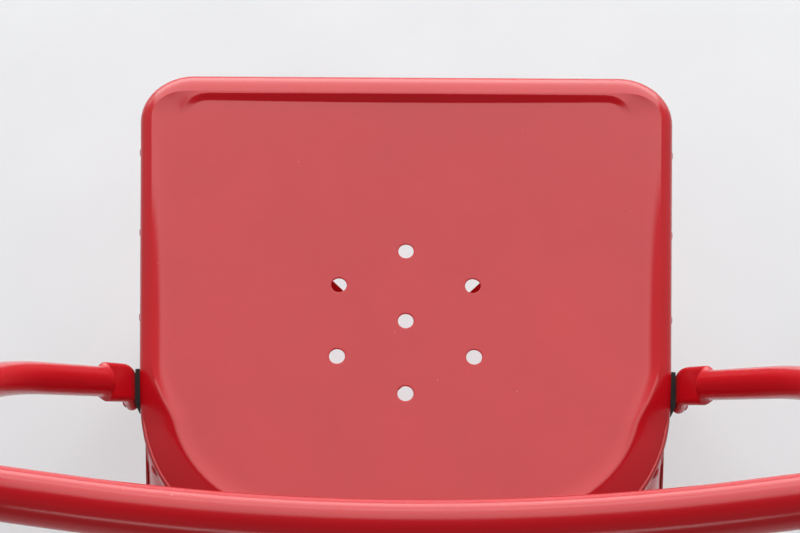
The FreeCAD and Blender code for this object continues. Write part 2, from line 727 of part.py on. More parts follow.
def make_hoop():
    foot, bend, knee, corner, bow_end = hoop_points()
    bend_start, bend_arc, bend_end = fillet_corner(foot, bend, knee, size("end_bend_radius"))
    knee_start, knee_arc, knee_end = fillet_corner(bend, knee, corner, size("knee_radius"))
    turn_start, turn_arc, turn_end = fillet_corner(knee, corner, bow_end, size("hoop_corner_radius"))
    rise = (knee - bend).normalize()
    flat_end = bend_end + rise * size("end_flat_length")
    round_start = flat_end + rise * size("shoulder_length")
    tilt = FreeCAD.Rotation(UP, rise)
    along = tilt.multVec(hoop_along)
    across = tilt.multVec(hoop_normal)
    rail_top = V(0, size("rail_y"), size("rail_height"))
    half_path = [
        Part.makeLine(round_start, knee_start), knee_arc, Part.makeLine(knee_end, turn_start), turn_arc,
        Part.makeLine(turn_end, bow_end),
    ]
    rail = Part.Arc(bow_end, rail_top, V(-bow_end.x, bow_end.y, bow_end.z)).toShape()
    tube_path = Part.Wire(Part.__sortEdges__(half_path + [rail] + [mirrored(edge) for edge in half_path]))
    end_path = Part.Wire([Part.makeLine(foot, bend_start), bend_arc, Part.makeLine(bend_end, flat_end)])

    def solid(wall):
        half_round = size("tube_diameter") / 2 - wall
        half_wide = size("end_width") / 2 - wall
        half_thick = size("end_thickness") / 2 - wall
        circle = section(round_start, along, across, half_round, half_round)
        tube = tube_path.makePipeShell([circle], True, False)
        lowest = section(foot, hoop_along, hoop_normal, half_wide, half_thick)
        end = end_path.makePipeShell([lowest], True, False)
        flattened = section(flat_end, along, across, half_wide, half_thick)
        shoulder = Part.makeLoft([flattened, circle], True, True)
        return tube.fuse([end, shoulder, mirrored(end), mirrored(shoulder)])

    return solid(0).cut(solid(size("tube_wall")))


hoop = make_hoop()


def make_spacer(name, side):
    """Packing plate between the skirt and one end of the hoop."""
    out = V(side * hoop_normal.x, hoop_normal.y, 0)
    along = UP.cross(out)
    spot = V(side * hoop_base.x, hoop_base.y, -size("rivet_drop") - size("spacer_height") / 2)
    turn = FreeCAD.Rotation(out, along, UP, "XYZ")
    width = size("end_width") - 2 * size("fit_gap")
    lengths = ("Sizes.spacer_thickness", "Sizes.end_width - 2 * Sizes.fit_gap", "Sizes.spacer_height")
    return bound_box(name + "Plate", lengths, spot - along * (width / 2), turn)


# X brace


def make_strap(name, top, skew):
    """Channel strap under the seat, from a front leg to the opposite rear leg, with tabs at its ends."""
    half = size("strap_width") / 2
    gauge = size("strap_gauge")
    turn = FreeCAD.Rotation(UP, skew)

    def bar(part, lengths, x, z):
        return bound_box(name + part, lengths, brace_centre + turn.multVec(V(x, -reach, z)), turn)

    length = "2 * Sizes.seat_height"
    under = top - size("strap_depth")
    channel = bar("Channel", ("Sizes.strap_width", length, "Sizes.strap_depth"), -half, under)
    hollow_lengths = ("Sizes.strap_width - 2 * Sizes.strap_gauge", length, "Sizes.strap_depth")
    hollow = bar("Hollow", hollow_lengths, gauge - half, under - gauge)
    tabs = bar("Tabs", ("Sizes.strap_width", length, "Sizes.tab_height"), -half, top - size("tab_height"))
    strap = doc.addObject("Part::MultiFuse", name + "Whole")
    strap.Shapes = [
        shared(name + "Trimmed", cut_away(name + "Folded", channel, hollow), brace_reach),
        shared(name + "Ends", tabs, brace_rim),
    ]
    strap.Refine = True
    return strap


brace_reach = shape_feature("BraceReach", leg_core(legs_inset, leg_top))
brace_inside = leg_core(legs_inset + size("strap_gauge"), leg_top)
brace_rim = shape_feature("BraceRim", brace_reach.Shape.cut(brace_inside))
upper_top = -size("strap_drop")
brace_centre = V(0, -size("brace_y"), 0)
lower_top = upper_top - size("strap_depth") - size("fit_gap")


def leg_surface(z, heading):
    """Point of the legs' outer face in a horizontal direction from the straps' crossing."""
    start = brace_centre + UP * z
    ray = Part.makeLine(start, start + heading * reach).common(leg_outer)
    return max((v.Point for v in ray.Vertexes), key=lambda p: p.distanceToPoint(start))


def plan_tab_rivets(top, skew):
    level = top - size("tab_height") + size("tab_rivet_rise")
    grip = size("sheet_gauge") + size("strap_gauge") + 3 * size("fit_gap")
    for toward in (-1, 1):
        heading = FreeCAD.Rotation(UP, skew).multVec(V(0, toward, 0))
        spot = leg_surface(level, heading)
        outline = leg_outline(level)
        corner = outline.front if toward < 0 else outline.rear
        centre = V(math.copysign(corner.x, spot.x), corner.y, level)
        out = (spot - centre).normalize()
        rise = (leg_surface(level + 1, heading) - leg_surface(level - 1, heading)) * 0.5
        normal = (out - UP * rise.dot(out)).normalize()
        plan_rivet("rivets_brace_ends", spot + normal * size("fit_gap"), normal, grip)


plan_tab_rivets(upper_top, size("strap_angle"))
plan_tab_rivets(lower_top, -size("strap_angle"))
crossing_grip = size("strap_depth") + size("strap_gauge") + 2 * size("fit_gap")
crossing_spot = brace_centre + UP * (upper_top + head_gap)
rivet_groups["rivet_brace_crossing"] = [(crossing_spot, UP, crossing_grip)]

# Back slat


def slat_frame():
    """Foot of the slat's leaning part, its direction up and its outward normal."""
    start = V(0, seat_outline.edge_centre().y + seat_outline.edge_r + size("fit_gap"), 0)
    rail = V(0, size("rail_y"), size("rail_height")) - start
    clear = size("tube_diameter") / 2 + size("fit_gap")
    lean = math.atan2(rail.y, rail.z) + math.asin(clear / rail.Length)
    up = V(0, math.sin(lean), math.cos(lean))
    return start, up, V(0, up.z, -up.y)


def make_slat():
    gauge = size("sheet_gauge")
    start, up, out = slat_frame()
    rise = (size("rail_height") + size("slat_rise")) / up.z
    low = start - UP * size("slat_drop")
    top = start + up * rise
    back = V(0, 1, 0)
    bend = start + (back + out) * (gauge / (1 + back.dot(out)))
    half = size("slat_width") / 2
    profile = Part.makePolygon([low, start, top, top + out * gauge, bend, low + back * gauge, low])
    sheet_form = Part.Face(profile).extrude(V(2 * half, 0, 0))
    sheet_form.translate(V(-half, 0, 0))
    top_half = size("slat_top_width") / 2
    crest = top.z + gauge
    corners = [V(-half, 0, low.z), V(half, 0, low.z), V(top_half, 0, crest), V(-top_half, 0, crest)]
    window = Part.Face(Part.makePolygon(corners + corners[:1])).extrude(V(0, reach, 0))
    window = window.makeFillet(size("slat_corner"), [
        e for e in window.Edges if abs(e.tangentAt(e.FirstParameter).y) > 0.9
    ])
    slat = sheet_form.common(window)
    turn = FreeCAD.Rotation(UP, up)
    radius = size("rib_radius")
    depth = gauge + size("rib_height") - radius
    lengths = rise - 2 * size("rib_margin")
    behind = Part.makeBox(2 * reach, reach, 2 * reach, V(-reach, 0, -reach))
    behind.Placement = FreeCAD.Placement(start, turn)
    for x in (-size("rib_offset"), size("rib_offset")):
        base = start + V(x, 0, 0) + out * depth + up * size("rib_margin")

        def capsule(r):
            ends = [Part.makeSphere(r, base), Part.makeSphere(r, base + up * lengths)]
            return Part.makeCylinder(r, lengths, base, up).fuse(ends)

        slat = slat.fuse(capsule(radius).common(behind)).cut(capsule(radius - gauge))
    return slat.removeSplitter()


slat = make_slat()
start, slat_up, slat_out = slat_frame()
tail_reach = size("slat_rivet_x") + size("rivet_tail") / 2
bow_fall = seat_outline.edge_r - math.sqrt(seat_outline.edge_r ** 2 - tail_reach ** 2)
for x in (-size("slat_rivet_x"), size("slat_rivet_x")):
    spot = start + V(x, size("sheet_gauge") + head_gap, -size("rivet_drop"))
    plan_rivet("rivets_slat_seat", spot, V(0, 1, 0), skirt_grip + bow_fall)
    rail_spot = V(x, size("rail_y"), size("rail_height"))
    out_distance = size("tube_diameter") / 2 + size("fit_gap") + size("sheet_gauge") + head_gap
    rail_grip = size("tube_wall") + size("sheet_gauge") + 3 * size("fit_gap")
    plan_rivet("rivets_slat_rail", rail_spot + slat_out * out_distance, slat_out, rail_grip)

# Every piece with its rivet holes


def drilled(name, base, groups):
    """The piece with a hole for each planned rivet of the given groups."""
    holes = [tool for group in groups for tool in rivet_groups[group]]
    tool = shape_feature(name + "_drill", drill(holes, size("rivet_head_height")))
    return keep(cut_away(name, base, tool), name)


def both(names):
    return [name % side for name in names for side in ("right", "left")]


front_leg_rivets = ["rivets_front_leg_%s"]
rear_leg_rivets = ["rivets_rear_leg_%s", "rivets_hoop_%s"]
drilled("seat_pan", seat_body, both(front_leg_rivets + rear_leg_rivets) + ["rivets_slat_seat"])
for side, name in ((1, "right"), (-1, "left")):
    for leg, place, groups in (
        (front_leg, "front", front_leg_rivets), (rear_leg, "rear", rear_leg_rivets),
    ):
        blank = shape_feature("Leg%s%s" % (place.title(), name.title()), leg if side > 0 else mirrored(leg))
        drilled("leg_%s_%s" % (place, name), blank, [g % name for g in groups] + ["rivets_brace_ends"])
    rubber_foot("foot_front_%s" % name, foot_outline.front, side, -1)
    rubber_foot("foot_rear_%s" % name, foot_outline.rear, side, 1)
    drilled("hoop_spacer_%s" % name, make_spacer("Spacer%s" % name.title(), side), ["rivets_hoop_%s" % name])
drilled("back_hoop", shape_feature("HoopBlank", hoop), both(["rivets_hoop_%s"]) + ["rivets_slat_rail"])
drilled("back_slat", shape_feature("SlatBlank", slat), ["rivets_slat_seat", "rivets_slat_rail"])
for name, top, skew in (("upper", upper_top, 1), ("lower", lower_top, -1)):
    strap = make_strap("Strap%s" % name.title(), top, skew * size("strap_angle"))
    drilled("brace_strap_%s" % name, strap, ["rivets_brace_ends", "rivet_brace_crossing"])
for group, places in rivet_groups.items():
    keep(shape_feature(group, Part.makeCompound([rivet_shape(*place) for place in places])), group)

doc.recompute()
for thing in doc.Objects:
    if "Invalid" in thing.State or "Error" in thing.State:
        raise RuntimeError("%s failed: %s" % (thing.Name, thing.State))
for piece in pieces:
    if piece.Shape.isNull() or not piece.Shape.isValid():
        raise RuntimeError("%s has no valid shape" % piece.Label)

os.makedirs("parts", exist_ok=True)
for piece in pieces:
    piece.Shape.exportStep("parts/%s.step" % piece.Label)
    box = piece.Shape.BoundBox
    print("%-28s %2d solids %9.0f mm3  Z %7.1f to %7.1f" % (
        piece.Label, len(piece.Shape.Solids), piece.Shape.Volume, box.ZMin, box.ZMax))
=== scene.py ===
import math

import bmesh
import bpy
from mathutils import Matrix, Quaternion, Vector
from mathutils.geometry import area_tri, delaunay_2d_cdt


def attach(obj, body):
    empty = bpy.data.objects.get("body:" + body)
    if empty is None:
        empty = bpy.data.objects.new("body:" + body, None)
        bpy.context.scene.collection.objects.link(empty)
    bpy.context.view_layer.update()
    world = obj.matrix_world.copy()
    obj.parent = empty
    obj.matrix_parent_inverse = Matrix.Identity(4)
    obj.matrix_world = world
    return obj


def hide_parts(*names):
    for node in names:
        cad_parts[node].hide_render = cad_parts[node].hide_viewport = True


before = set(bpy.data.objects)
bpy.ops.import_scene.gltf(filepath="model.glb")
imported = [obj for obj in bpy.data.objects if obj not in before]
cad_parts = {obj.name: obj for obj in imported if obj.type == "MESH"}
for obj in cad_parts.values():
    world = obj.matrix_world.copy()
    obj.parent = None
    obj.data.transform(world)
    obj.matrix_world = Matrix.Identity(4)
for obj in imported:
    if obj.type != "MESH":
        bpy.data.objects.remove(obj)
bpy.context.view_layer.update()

bl_info = {
    "name": "Metal Stacking Chair",
    "version": (1, 0, 0),
    "blender": (4, 5, 0),
    "location": "View3D > Sidebar > Chair",
    "description": "Dresses the pressed steel stacking chair: seat, legs, back hoop, slat, brace and feet",
    "category": "Object",
}

# Sizes and shapes are given in metres about the middle drain hole at rim height, and PLACE stands
# them on the floor
PLACE = Vector((0, -0.027, 0.445))
UP = Vector((0, 0, 1))
# Gap between two pieces that lie against each other
FIT_GAP = 0.0003


def length(name, description, default):
    return bpy.props.FloatProperty(name=name, description=description, default=default, unit="LENGTH")


def colour(name, description, default):
    """A colour that the user gives as an sRGB hex value."""
    return bpy.props.StringProperty(name=name, description=description, default=default)


class ChairSeatSizes(bpy.types.PropertyGroup):
    gauge: length("Sheet gauge", "Thickness of the pressed sheet", 0.0012)
    skirt: length("Skirt", "Height of the turned-down skirt", 0.028)
    rim_height: length("Rim height", "Height of the roll from the skirt to the crest", 0.008)
    corner_drop: length("Corner drop", "Fall of the crest round the rear corners", 0.0016)
    front_rim: length("Front rim", "Width of the roll at the front", 0.0168)
    side_rim: length("Side rim", "Width of the roll at the sides", 0.0086)
    corner_rim: length("Rear corner rim", "Width of the roll round the rear corners", 0.0215)
    step: length("Step", "Width of the steep step down into the dish at the front", 0.0052)
    dish_depth: length("Dish depth", "Depth of the dish at its border", 0.0021)
    bowl: length("Bowl", "Further fall of the dish to its middle", 0.0049)
    drain_radius: length("Drain radius", "Radius of the drain holes", 0.005)
    drain_ring: length("Drain ring", "Radius of the ring of drain holes", 0.05)


class ChairLegSizes(bpy.types.PropertyGroup):
    gauge: length("Sheet gauge", "Thickness of the folded sheet", 0.0012)
    hem: length("Hem radius", "Radius of the rolled hem along the edges", 0.0021)
    foot_edge: length("Foot edge", "Rounding of the rubber feet", 0.0009)
    strap_edge: length("Strap edge", "Rounding of the brace's cut edges", 0.0005)
    strap_fold: length("Strap fold", "Rounding of the brace's long folds", 0.0014)


class ChairBackSizes(bpy.types.PropertyGroup):
    tube_radius: length("Tube radius", "Radius of the hoop's tube", 0.009)
    end_flat: length("Flattened length", "Flattened tube above the bend at the seat", 0.023)
    end_round: length("End rounding", "Corner radius of the flattened ends", 0.009)
    end_half_width: length("Half end width", "Half the width of the flattened ends", 0.012)
    end_half_thick: length("Half end thickness", "Half the thickness of the flattened ends", 0.00375)
    rib_height: length("Rib height", "Height of the slat's pressed ribs", 0.003)


class ChairFinish(bpy.types.PropertyGroup):
    enamel: colour("Enamel", "Colour of the baked enamel", "#C8101D")
    # Also the colour of the packing plates under the hoop's ends, where it is painted shade for the gap there
    rubber: colour("Rubber", "Colour of the feet", "#0C0C0C")
    floor: colour("Floor", "Colour of the floor", "#ECEEF0")


# Mesh tools

# Least turn of a cut edge that is softened, on a sheet and on a solid of the frame
CUT_TURN = math.radians(50)
SHARP_TURN = math.radians(40)
# Facets that turn less than this are joined before a solid's edges are rounded
FLAT_TURN = math.radians(1)
WELD = 1e-6
LEVEL = 1e-5
LONG_FOLD = 0.05


def new_object(name, points, faces):
    """A smooth-shaded mesh object in the scene."""
    mesh = bpy.data.meshes.new(name)
    mesh.from_pydata([tuple(p) for p in points], [], faces)
    mesh.validate()
    mesh.polygons.foreach_set("use_smooth", [True] * len(mesh.polygons))
    made = bpy.data.objects.new(name, mesh)
    bpy.context.scene.collection.objects.link(made)
    return made


def skin(rings, closed=True):
    """Quads between rings of the same number of points."""
    count = len(rings[0])
    faces = []
    for row in range(len(rings) - 1):
        low = row * count
        for i in range(count if closed else count - 1):
            j = (i + 1) % count
            faces.append((low + i, low + j, low + count + j, low + count + i))
    return faces


def flat(rings):
    return [p for ring in rings for p in ring]


def thicken(made, gauge, softening, weights=None):
    """Turns an outer face into a sheet, thickness inward, with its cut edges softened.

    The weights, where given, are each vertex's share of that softening."""
    solid = made.modifiers.new("Sheet", "SOLIDIFY")
    solid.thickness = gauge
    solid.offset = -1
    soft = made.modifiers.new("Edges", "BEVEL")
    soft.width = softening
    soft.segments = 3 if weights else 2
    if weights:
        soft.limit_method = "WEIGHT"
        shares = made.data.attributes.new("bevel_weight_edge", "FLOAT", "EDGE").data
        for edge in made.data.edges:
            shares[edge.index].value = min(weights[v] for v in edge.vertices)
        return
    soft.limit_method = "ANGLE"
    soft.angle_limit = CUT_TURN
    soft.harden_normals = True


def heading(path, index):
    """Direction of a path at one of its points."""
    before = path[max(index - 1, 0)]
    after = path[min(index + 1, len(path) - 1)]
    return (after - before).normalized()


def sweep(path, section, side):
    """Closed skin of a section carried along a path; side is the section's first axis at the start."""
    rings = []
    along = heading(path, 0)
    side = (side - along * side.dot(along)).normalized()
    for index, point in enumerate(path):
        now = heading(path, index)
        side = along.rotation_difference(now) @ side
        side = (side - now * side.dot(now)).normalized()
        along = now
        up = along.cross(side)
        rings.append([point + side * a + up * b for a, b in section(index)])
    faces = skin(rings)
    count = len(rings[0])
    last = (len(rings) - 1) * count
    faces.append(tuple(reversed(range(count))))
    faces.append(tuple(range(last, last + count)))
    return flat(rings), faces


def circle(radius, count):
    turns = [2 * math.pi * i / count for i in range(count)]
    return [(radius * math.cos(t), radius * math.sin(t)) for t in turns]


def mirror(made, name):
    """The same piece on the chair's other side."""
    copy = bpy.data.objects.new(name, made.data.copy())
    copy.data.transform(Matrix.Scale(-1, 4, Vector((1, 0, 0))))
    copy.data.flip_normals()
    bpy.context.scene.collection.objects.link(copy)
    for modifier in made.modifiers:
        twin = copy.modifiers.new(modifier.name, modifier.type)
        for prop in modifier.bl_rna.properties:
            if not prop.is_readonly:
                setattr(twin, prop.identifier, getattr(modifier, prop.identifier))
    return copy


def softened(name, width, fold=0):
    """Copy of a solid of the frame with its sharp edges rounded, and its long upper folds by more."""
    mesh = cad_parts[name].data.copy()
    work = bmesh.new()
    work.from_mesh(mesh)
    bmesh.ops.remove_doubles(work, verts=work.verts, dist=WELD)
    bmesh.ops.dissolve_limit(work, angle_limit=FLAT_TURN, verts=work.verts, edges=work.edges)
    top = max(v.co.z for v in work.verts) - LEVEL
    for radius, folds in ((fold, True), (width, False)):
        chosen = []
        for edge in work.edges:
            upper = min(v.co.z for v in edge.verts) > top and edge.calc_length() > LONG_FOLD
            sharp = len(edge.link_faces) == 2 and edge.calc_face_angle(0) > SHARP_TURN
            if sharp and upper == (folds and fold > 0):
                chosen.append(edge)
        if radius:
            bmesh.ops.bevel(
                work, geom=chosen, offset=radius, offset_type="OFFSET", segments=3, profile=0.5,
                affect="EDGES", clamp_overlap=True,
            )
    for face in work.faces:
        face.smooth = True
    work.to_mesh(mesh)
    work.free()
    made = bpy.data.objects.new(name + "_piece", mesh)
    bpy.context.scene.collection.objects.link(made)
    even = made.modifiers.new("Even", "WEIGHTED_NORMAL")
    even.weight = 90
    return made


def settle(made, material, slot, *nodes):
    """Gives a piece its finish and its place in the frame."""
    made.data.materials.clear()
    made.data.materials.append(material)
    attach(made, "root")
    if nodes:
        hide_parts(*nodes)


# Outlines of the seat and of the legs at one height

# Points of one half: on the straight front, the front corner, the side, the rear corner and the rear bow
FRONT_POINTS = 28
FRONT_ARC_POINTS = 18
SIDE_POINTS = 40
REAR_ARC_POINTS = 30
BOW_POINTS = 14


class Outline:
    """Two corner arcs on each side, a straight front and a bowed rear edge."""

    def __init__(self, front, front_r, rear, rear_r, edge_r):
        self.front = Vector(front)
        self.front_r = front_r
        self.rear = Vector(rear)
        self.rear_r = rear_r
        self.edge_r = edge_r

    def inset(self, distance):
        return Outline(
            self.front, self.front_r - distance, self.rear, self.rear_r - distance, self.edge_r - distance
        )

    def mixed(self, other, share):
        def mix(a, b):
            return a + (b - a) * share

        return Outline(
            mix(self.front, other.front), mix(self.front_r, other.front_r),
            mix(self.rear, other.rear), mix(self.rear_r, other.rear_r),
            1 / mix(1 / self.edge_r, 1 / other.edge_r),
        )

    def side_angle(self):
        """Direction of the outward normal on the straight side."""
        way = self.rear - self.front
        lean = math.asin((self.front_r - self.rear_r) / way.length)
        return math.atan2(way.y, way.x) - math.pi / 2 + lean

    def on_side(self, y):
        """Point of the straight side, or of its line, at one depth."""
        turn = self.side_angle()
        start = self.rear + unit(turn) * self.rear_r
        return start + Vector((-math.tan(turn), 1)) * (y - start.y)

    def edge_middle(self):
        """Centre of the bowed rear edge."""
        reach = self.edge_r - self.rear_r
        return Vector((0, self.rear.y - math.sqrt(reach * reach - self.rear.x * self.rear.x)))

    def edge_angle(self):
        away = self.rear - self.edge_middle()
        return math.atan2(away.y, away.x)

    def front_arc(self, count):
        return arc(self.front, self.front_r, -math.pi / 2, self.side_angle(), count)

    def rear_arc(self, count):
        return arc(self.rear, self.rear_r, self.side_angle(), self.edge_angle(), count)

    def border(self):
        """Points of the right half, front to rear, with the direction of the outward normal at each."""
        side = self.side_angle()
        edge = self.edge_angle()
        front = self.front_arc(FRONT_ARC_POINTS)
        rear = self.rear_arc(REAR_ARC_POINTS)
        points = line(Vector((0, front[0].y)), front[0], FRONT_POINTS)[:-1] + front[:-1]
        points += line(front[-1], rear[0], SIDE_POINTS)[:-1] + rear[:-1]
        points += arc(self.edge_middle(), self.edge_r, edge, math.pi / 2, BOW_POINTS)
        turns = [-math.pi / 2] * (FRONT_POINTS - 1)
        turns += spread(-math.pi / 2, side, FRONT_ARC_POINTS)[:-1]
        turns += [side] * (SIDE_POINTS - 1)
        turns += spread(side, edge, REAR_ARC_POINTS)[:-1] + spread(edge, math.pi / 2, BOW_POINTS)
        return list(zip(points, turns))


def unit(turn):
    """Unit vector in a direction given as an angle."""
    return Vector((math.cos(turn), math.sin(turn)))


def spread(first, last, count):
    """Even steps from one value to another, both included."""
    return [first + (last - first) * i / (count - 1) for i in range(count)]


def arc(centre, radius, first, last, count):
    return [centre + unit(t) * radius for t in spread(first, last, count)]


def line(first, last, count):
    return [first.lerp(last, i / (count - 1)) for i in range(count)]


# Centre and radius of the front corner and of the rear corner, and radius of the rear edge
SEAT = Outline((0.1475, -0.1515), 0.035, (0.0655, 0.0503), 0.1, 0.25)
HIP = Outline((0.157, -0.158), 0.034, (0.078, 0.055), 0.091, 0.3)
FOOT = Outline((0.208, -0.1975), 0.014, (0.191, 0.2515), 0.014, 9)
SKIRT_Z = -0.028
HIP_Z = -0.064
FLOOR_Z = -0.445


# Seat

# Heights of the rings between the skirt's lower edge and the roll
SKIRT_RINGS = (-0.024, -0.019, -0.0135)
# Shares of width and height over the roll at the rear corners
CORNER_SLOPE = (
    (0, 0), (0.02, 0.1), (0.05, 0.18), (0.1, 0.26), (0.17, 0.34), (0.27, 0.44),
    (0.4, 0.56), (0.54, 0.68), (0.68, 0.8), (0.82, 0.9), (0.91, 0.96), (1, 1),
)
ROLL_TURN = math.radians(72)
# The roll at the rear corners starts this much lower on the skirt
CORNER_LOW = 0.0045
CREST_RING = len(SKIRT_RINGS) + len(CORNER_SLOPE)
# The crest is a ridge along the sides, from the front corners to where the rear slope starts
RIDGE_FIRST_Y = -0.175
RIDGE_LAST_Y = 0.045
# The slope of the rear corners fades in over this stretch of the sides
REAR_Y = 0.032
REAR_FADE = 0.048
# The fold lies this far past the roll at the front, further by the corner's share round the front
# corners, and comes nearer to the edge again along the sides
FOLD_PAST_ROLL = 0.0012
FOLD_CORNER = 0.0104
FOLD_CORNER_PACE = 1.6
FOLD_SIDE = 0.0077
FOLD_SIDE_Y = -0.15
FOLD_SIDE_FADE = 0.13
# It turns the front corners on a circle of its own
FOLD_CENTRE = Vector((0.1371, -0.1515))
FOLD_RADIUS = 0.017
# Steps of the slope from the crest, 0, over the fold, 1, to just past the step's foot, 2
SLOPE_SHARES = (0.06, 0.14, 0.24, 0.36, 0.5, 0.66, 0.82, 0.94, 1, 1.12, 1.3, 1.5, 1.7, 1.88, 2, 2.1)
SLOPE_HOLLOW = 2.4
# The rest of the step's fall is straight
STEP_SOFT = 0.3
# The bowl is an ellipse about this point
BOWL_HALF = Vector((0.23, 0.2))
BOWL_CENTRE = Vector((0, -0.01))
BOWL_POWER = 1.5
# The net covers a square of this half width and leaves the border and the holes free
NET_REACH = 0.4
NET_PITCH = 0.005
NET_CLEAR = 0.003
HOLE_CLEAR = 0.003
HOLE_POINTS = 48
# A second ring of points this far round each hole keeps the net regular there
HOLE_COLLAR = 0.0012
# A face of the net whose area is less than this share of its longest edge's square has no real width
SLIVER = 2e-4
# The skirt's lower edge gets this share of the holes' softening
SKIRT_SOFTENING = 0.3


def smooth(share):
    """An even rise from 0 to 1 with level ends."""
    share = min(1, max(0, share))
    return share * share * (3 - 2 * share)


def side_share(angle):
    """0 at the front edge, 1 from the end of the front corner on."""
    return smooth((angle + math.pi / 2) / (SEAT.side_angle() + math.pi / 2))


def rear_share(spot):
    """0 along the sides, 1 round the rear corners."""
    return smooth((spot.y - REAR_Y) / REAR_FADE)


def rim_width(spot, angle, sizes):
    """The roll is wide at the front, slim along the sides and wide again round the rear corners."""
    front = sizes.front_rim + (sizes.side_rim - sizes.front_rim) * side_share(angle)
    return front + (sizes.corner_rim - sizes.side_rim) * rear_share(spot)


def fold_inset(spot, angle, sizes):
    """Distance from the edge to the dish's fold: a step at the front, the foot of a slope at the sides."""
    inset = sizes.front_rim + FOLD_PAST_ROLL + FOLD_CORNER * smooth(FOLD_CORNER_PACE * side_share(angle))
    inset -= FOLD_SIDE * smooth((spot.y - FOLD_SIDE_Y) / FOLD_SIDE_FADE)
    return inset + (sizes.corner_rim - sizes.side_rim) * rear_share(spot)


def fold_spot(spot, angle, sizes, past=0):
    """Point on the fold, or past it by a share of the step's width."""
    point = spot - unit(angle) * fold_inset(spot, angle, sizes)
    away = point - FOLD_CENTRE
    if away.x > 0 and away.y < 0:
        return FOLD_CENTRE + away.normalized() * (FOLD_RADIUS - sizes.step * past)
    return point - unit(angle) * sizes.step * past


def fold_share(fold):
    """Share of the dish's depth that lies before the fold: none at the front, all along the sides."""
    return smooth(1 + (fold.y - FOLD_CENTRE.y) / FOLD_RADIUS)


def dish_floor(spot, sizes):
    """Height of the dish under the crest of the rim."""
    away = ((spot.x - BOWL_CENTRE.x) / BOWL_HALF.x) ** 2 + ((spot.y - BOWL_CENTRE.y) / BOWL_HALF.y) ** 2
    return -sizes.dish_depth - sizes.bowl * max(0, 1 - away) ** BOWL_POWER


def seat_rings(sizes):
    """Rings of the seat's upper face from the skirt's lower edge over the rim to the dish."""
    border = SEAT.border()

    def placed(spot_and_height):
        """A ring from the right half's points, each given its own place and height."""
        right = []
        for spot, angle in border:
            inner, height = spot_and_height(spot, angle)
            right.append(Vector((inner.x, inner.y, height)))
        left = [Vector((-p.x, p.y, p.z)) for p in reversed(right[1:-1])]
        return [p + PLACE for p in right + left]

    def rolled(spot, angle, share):
        return spot - unit(angle) * share * rim_width(spot, angle, sizes)

    def roll(step, sloped):
        """A quarter turn at the front and sides; a tight turn and a long slope round the rear corners."""
        def at(spot, angle):
            rear = rear_share(spot)
            turn = ROLL_TURN * step
            share = (1 - math.cos(turn)) / (1 - math.cos(ROLL_TURN))
            rise = math.sin(turn) / math.sin(ROLL_TURN)
            share += (sloped[0] - share) * rear
            rise += (sloped[1] - rise) * rear
            low = -sizes.rim_height - CORNER_LOW * rear
            high = -sizes.corner_drop * rear
            return rolled(spot, angle, share), low + (high - low) * rise
        return at

    def slope(share):
        """From the crest, share 0, to the fold, share 1, and down to the dish, share 2."""
        def at(spot, angle):
            crest = -sizes.corner_drop * rear_share(spot)
            before = fold_share(fold_spot(spot, angle, sizes))
            past = max(0, share - 1)
            inner = rolled(spot, angle, 1).lerp(fold_spot(spot, angle, sizes, past), min(1, share))
            hollow = 1 - max(0, 1 - share) ** SLOPE_HOLLOW
            step = min(1, (1 - STEP_SOFT) * past + STEP_SOFT * smooth(past))
            fall = before * hollow + (1 - before) * step
            return inner, crest + fall * (dish_floor(inner, sizes) - crest)
        return at

    rings = [placed(lambda spot, angle, z=z: (spot, z)) for z in (-sizes.skirt, *SKIRT_RINGS)]
    steps = len(CORNER_SLOPE) - 1
    rings += [placed(roll(i / steps, sloped)) for i, sloped in enumerate(CORNER_SLOPE)]
    return rings + [placed(slope(share)) for share in SLOPE_SHARES]


def drain_centres(sizes):
    """Six holes on a ring and one in its middle."""
    spots = [unit(math.pi / 2 + math.pi / 3 * i) * sizes.drain_ring for i in range(6)]
    return [s + PLACE.xy for s in spots + [Vector((0, 0))]]


def build_dish(rings, sizes):
    """Fills the last ring with a fine net that leaves the drain holes open."""
    border = [Vector((p.x, p.y)) for p in rings[-1]]
    points = list(border)
    edges = [(i, (i + 1) % len(border)) for i in range(len(border))]
    holes = drain_centres(sizes)

    def from_hole(spot):
        return min((spot - c).length for c in holes) - sizes.drain_radius

    for centre in holes:
        for radius, closed in ((sizes.drain_radius, True), (sizes.drain_radius + HOLE_COLLAR, False)):
            start = len(points)
            turns = [2 * math.pi * (i + 0.5 * (not closed)) / HOLE_POINTS for i in range(HOLE_POINTS)]
            points += [centre + unit(t) * radius for t in turns]
            if closed:
                edges += [(start + i, start + (i + 1) % HOLE_POINTS) for i in range(HOLE_POINTS)]
    rows = int(NET_REACH / NET_PITCH)
    for row in range(-rows, rows):
        for column in range(-rows, rows):
            spot = Vector(((column + 0.5 * (row % 2)) * NET_PITCH, row * NET_PITCH * math.sqrt(0.75)))
            if inside(spot, border) and min((spot - b).length for b in border) > NET_CLEAR:
                if from_hole(spot) > HOLE_CLEAR:
                    points.append(spot)
    # The net is made in millimetres, where its tolerance suits the sizes
    scaled = [p * 1000 for p in points]
    made, _, faces, origin, _, _ = delaunay_2d_cdt(scaled, edges, [], 0, 1e-5)
    made = [p / 1000 for p in made]
    kept = []
    for face in faces:
        corners = [made[i] for i in face]
        middle = sum(corners, Vector((0, 0))) / len(corners)
        longest = max((a - b).length_squared for a in corners for b in corners)
        if area_tri(*corners) > SLIVER * longest and inside(middle, border) and from_hole(middle) > 0:
            kept.append(face)
    heights = [PLACE.z + dish_floor(p - PLACE.xy, sizes) for p in made]
    return [Vector((p.x, p.y, z)) for p, z in zip(made, heights)], kept, origin


def inside(point, border):
    """Whether a point lies inside a closed outline."""
    crossed = False
    for a, b in zip(border, border[1:] + border[:1]):
        if (a.y > point.y) != (b.y > point.y):
            if point.x < a.x + (point.y - a.y) * (b.x - a.x) / (b.y - a.y):
                crossed = not crossed
    return crossed


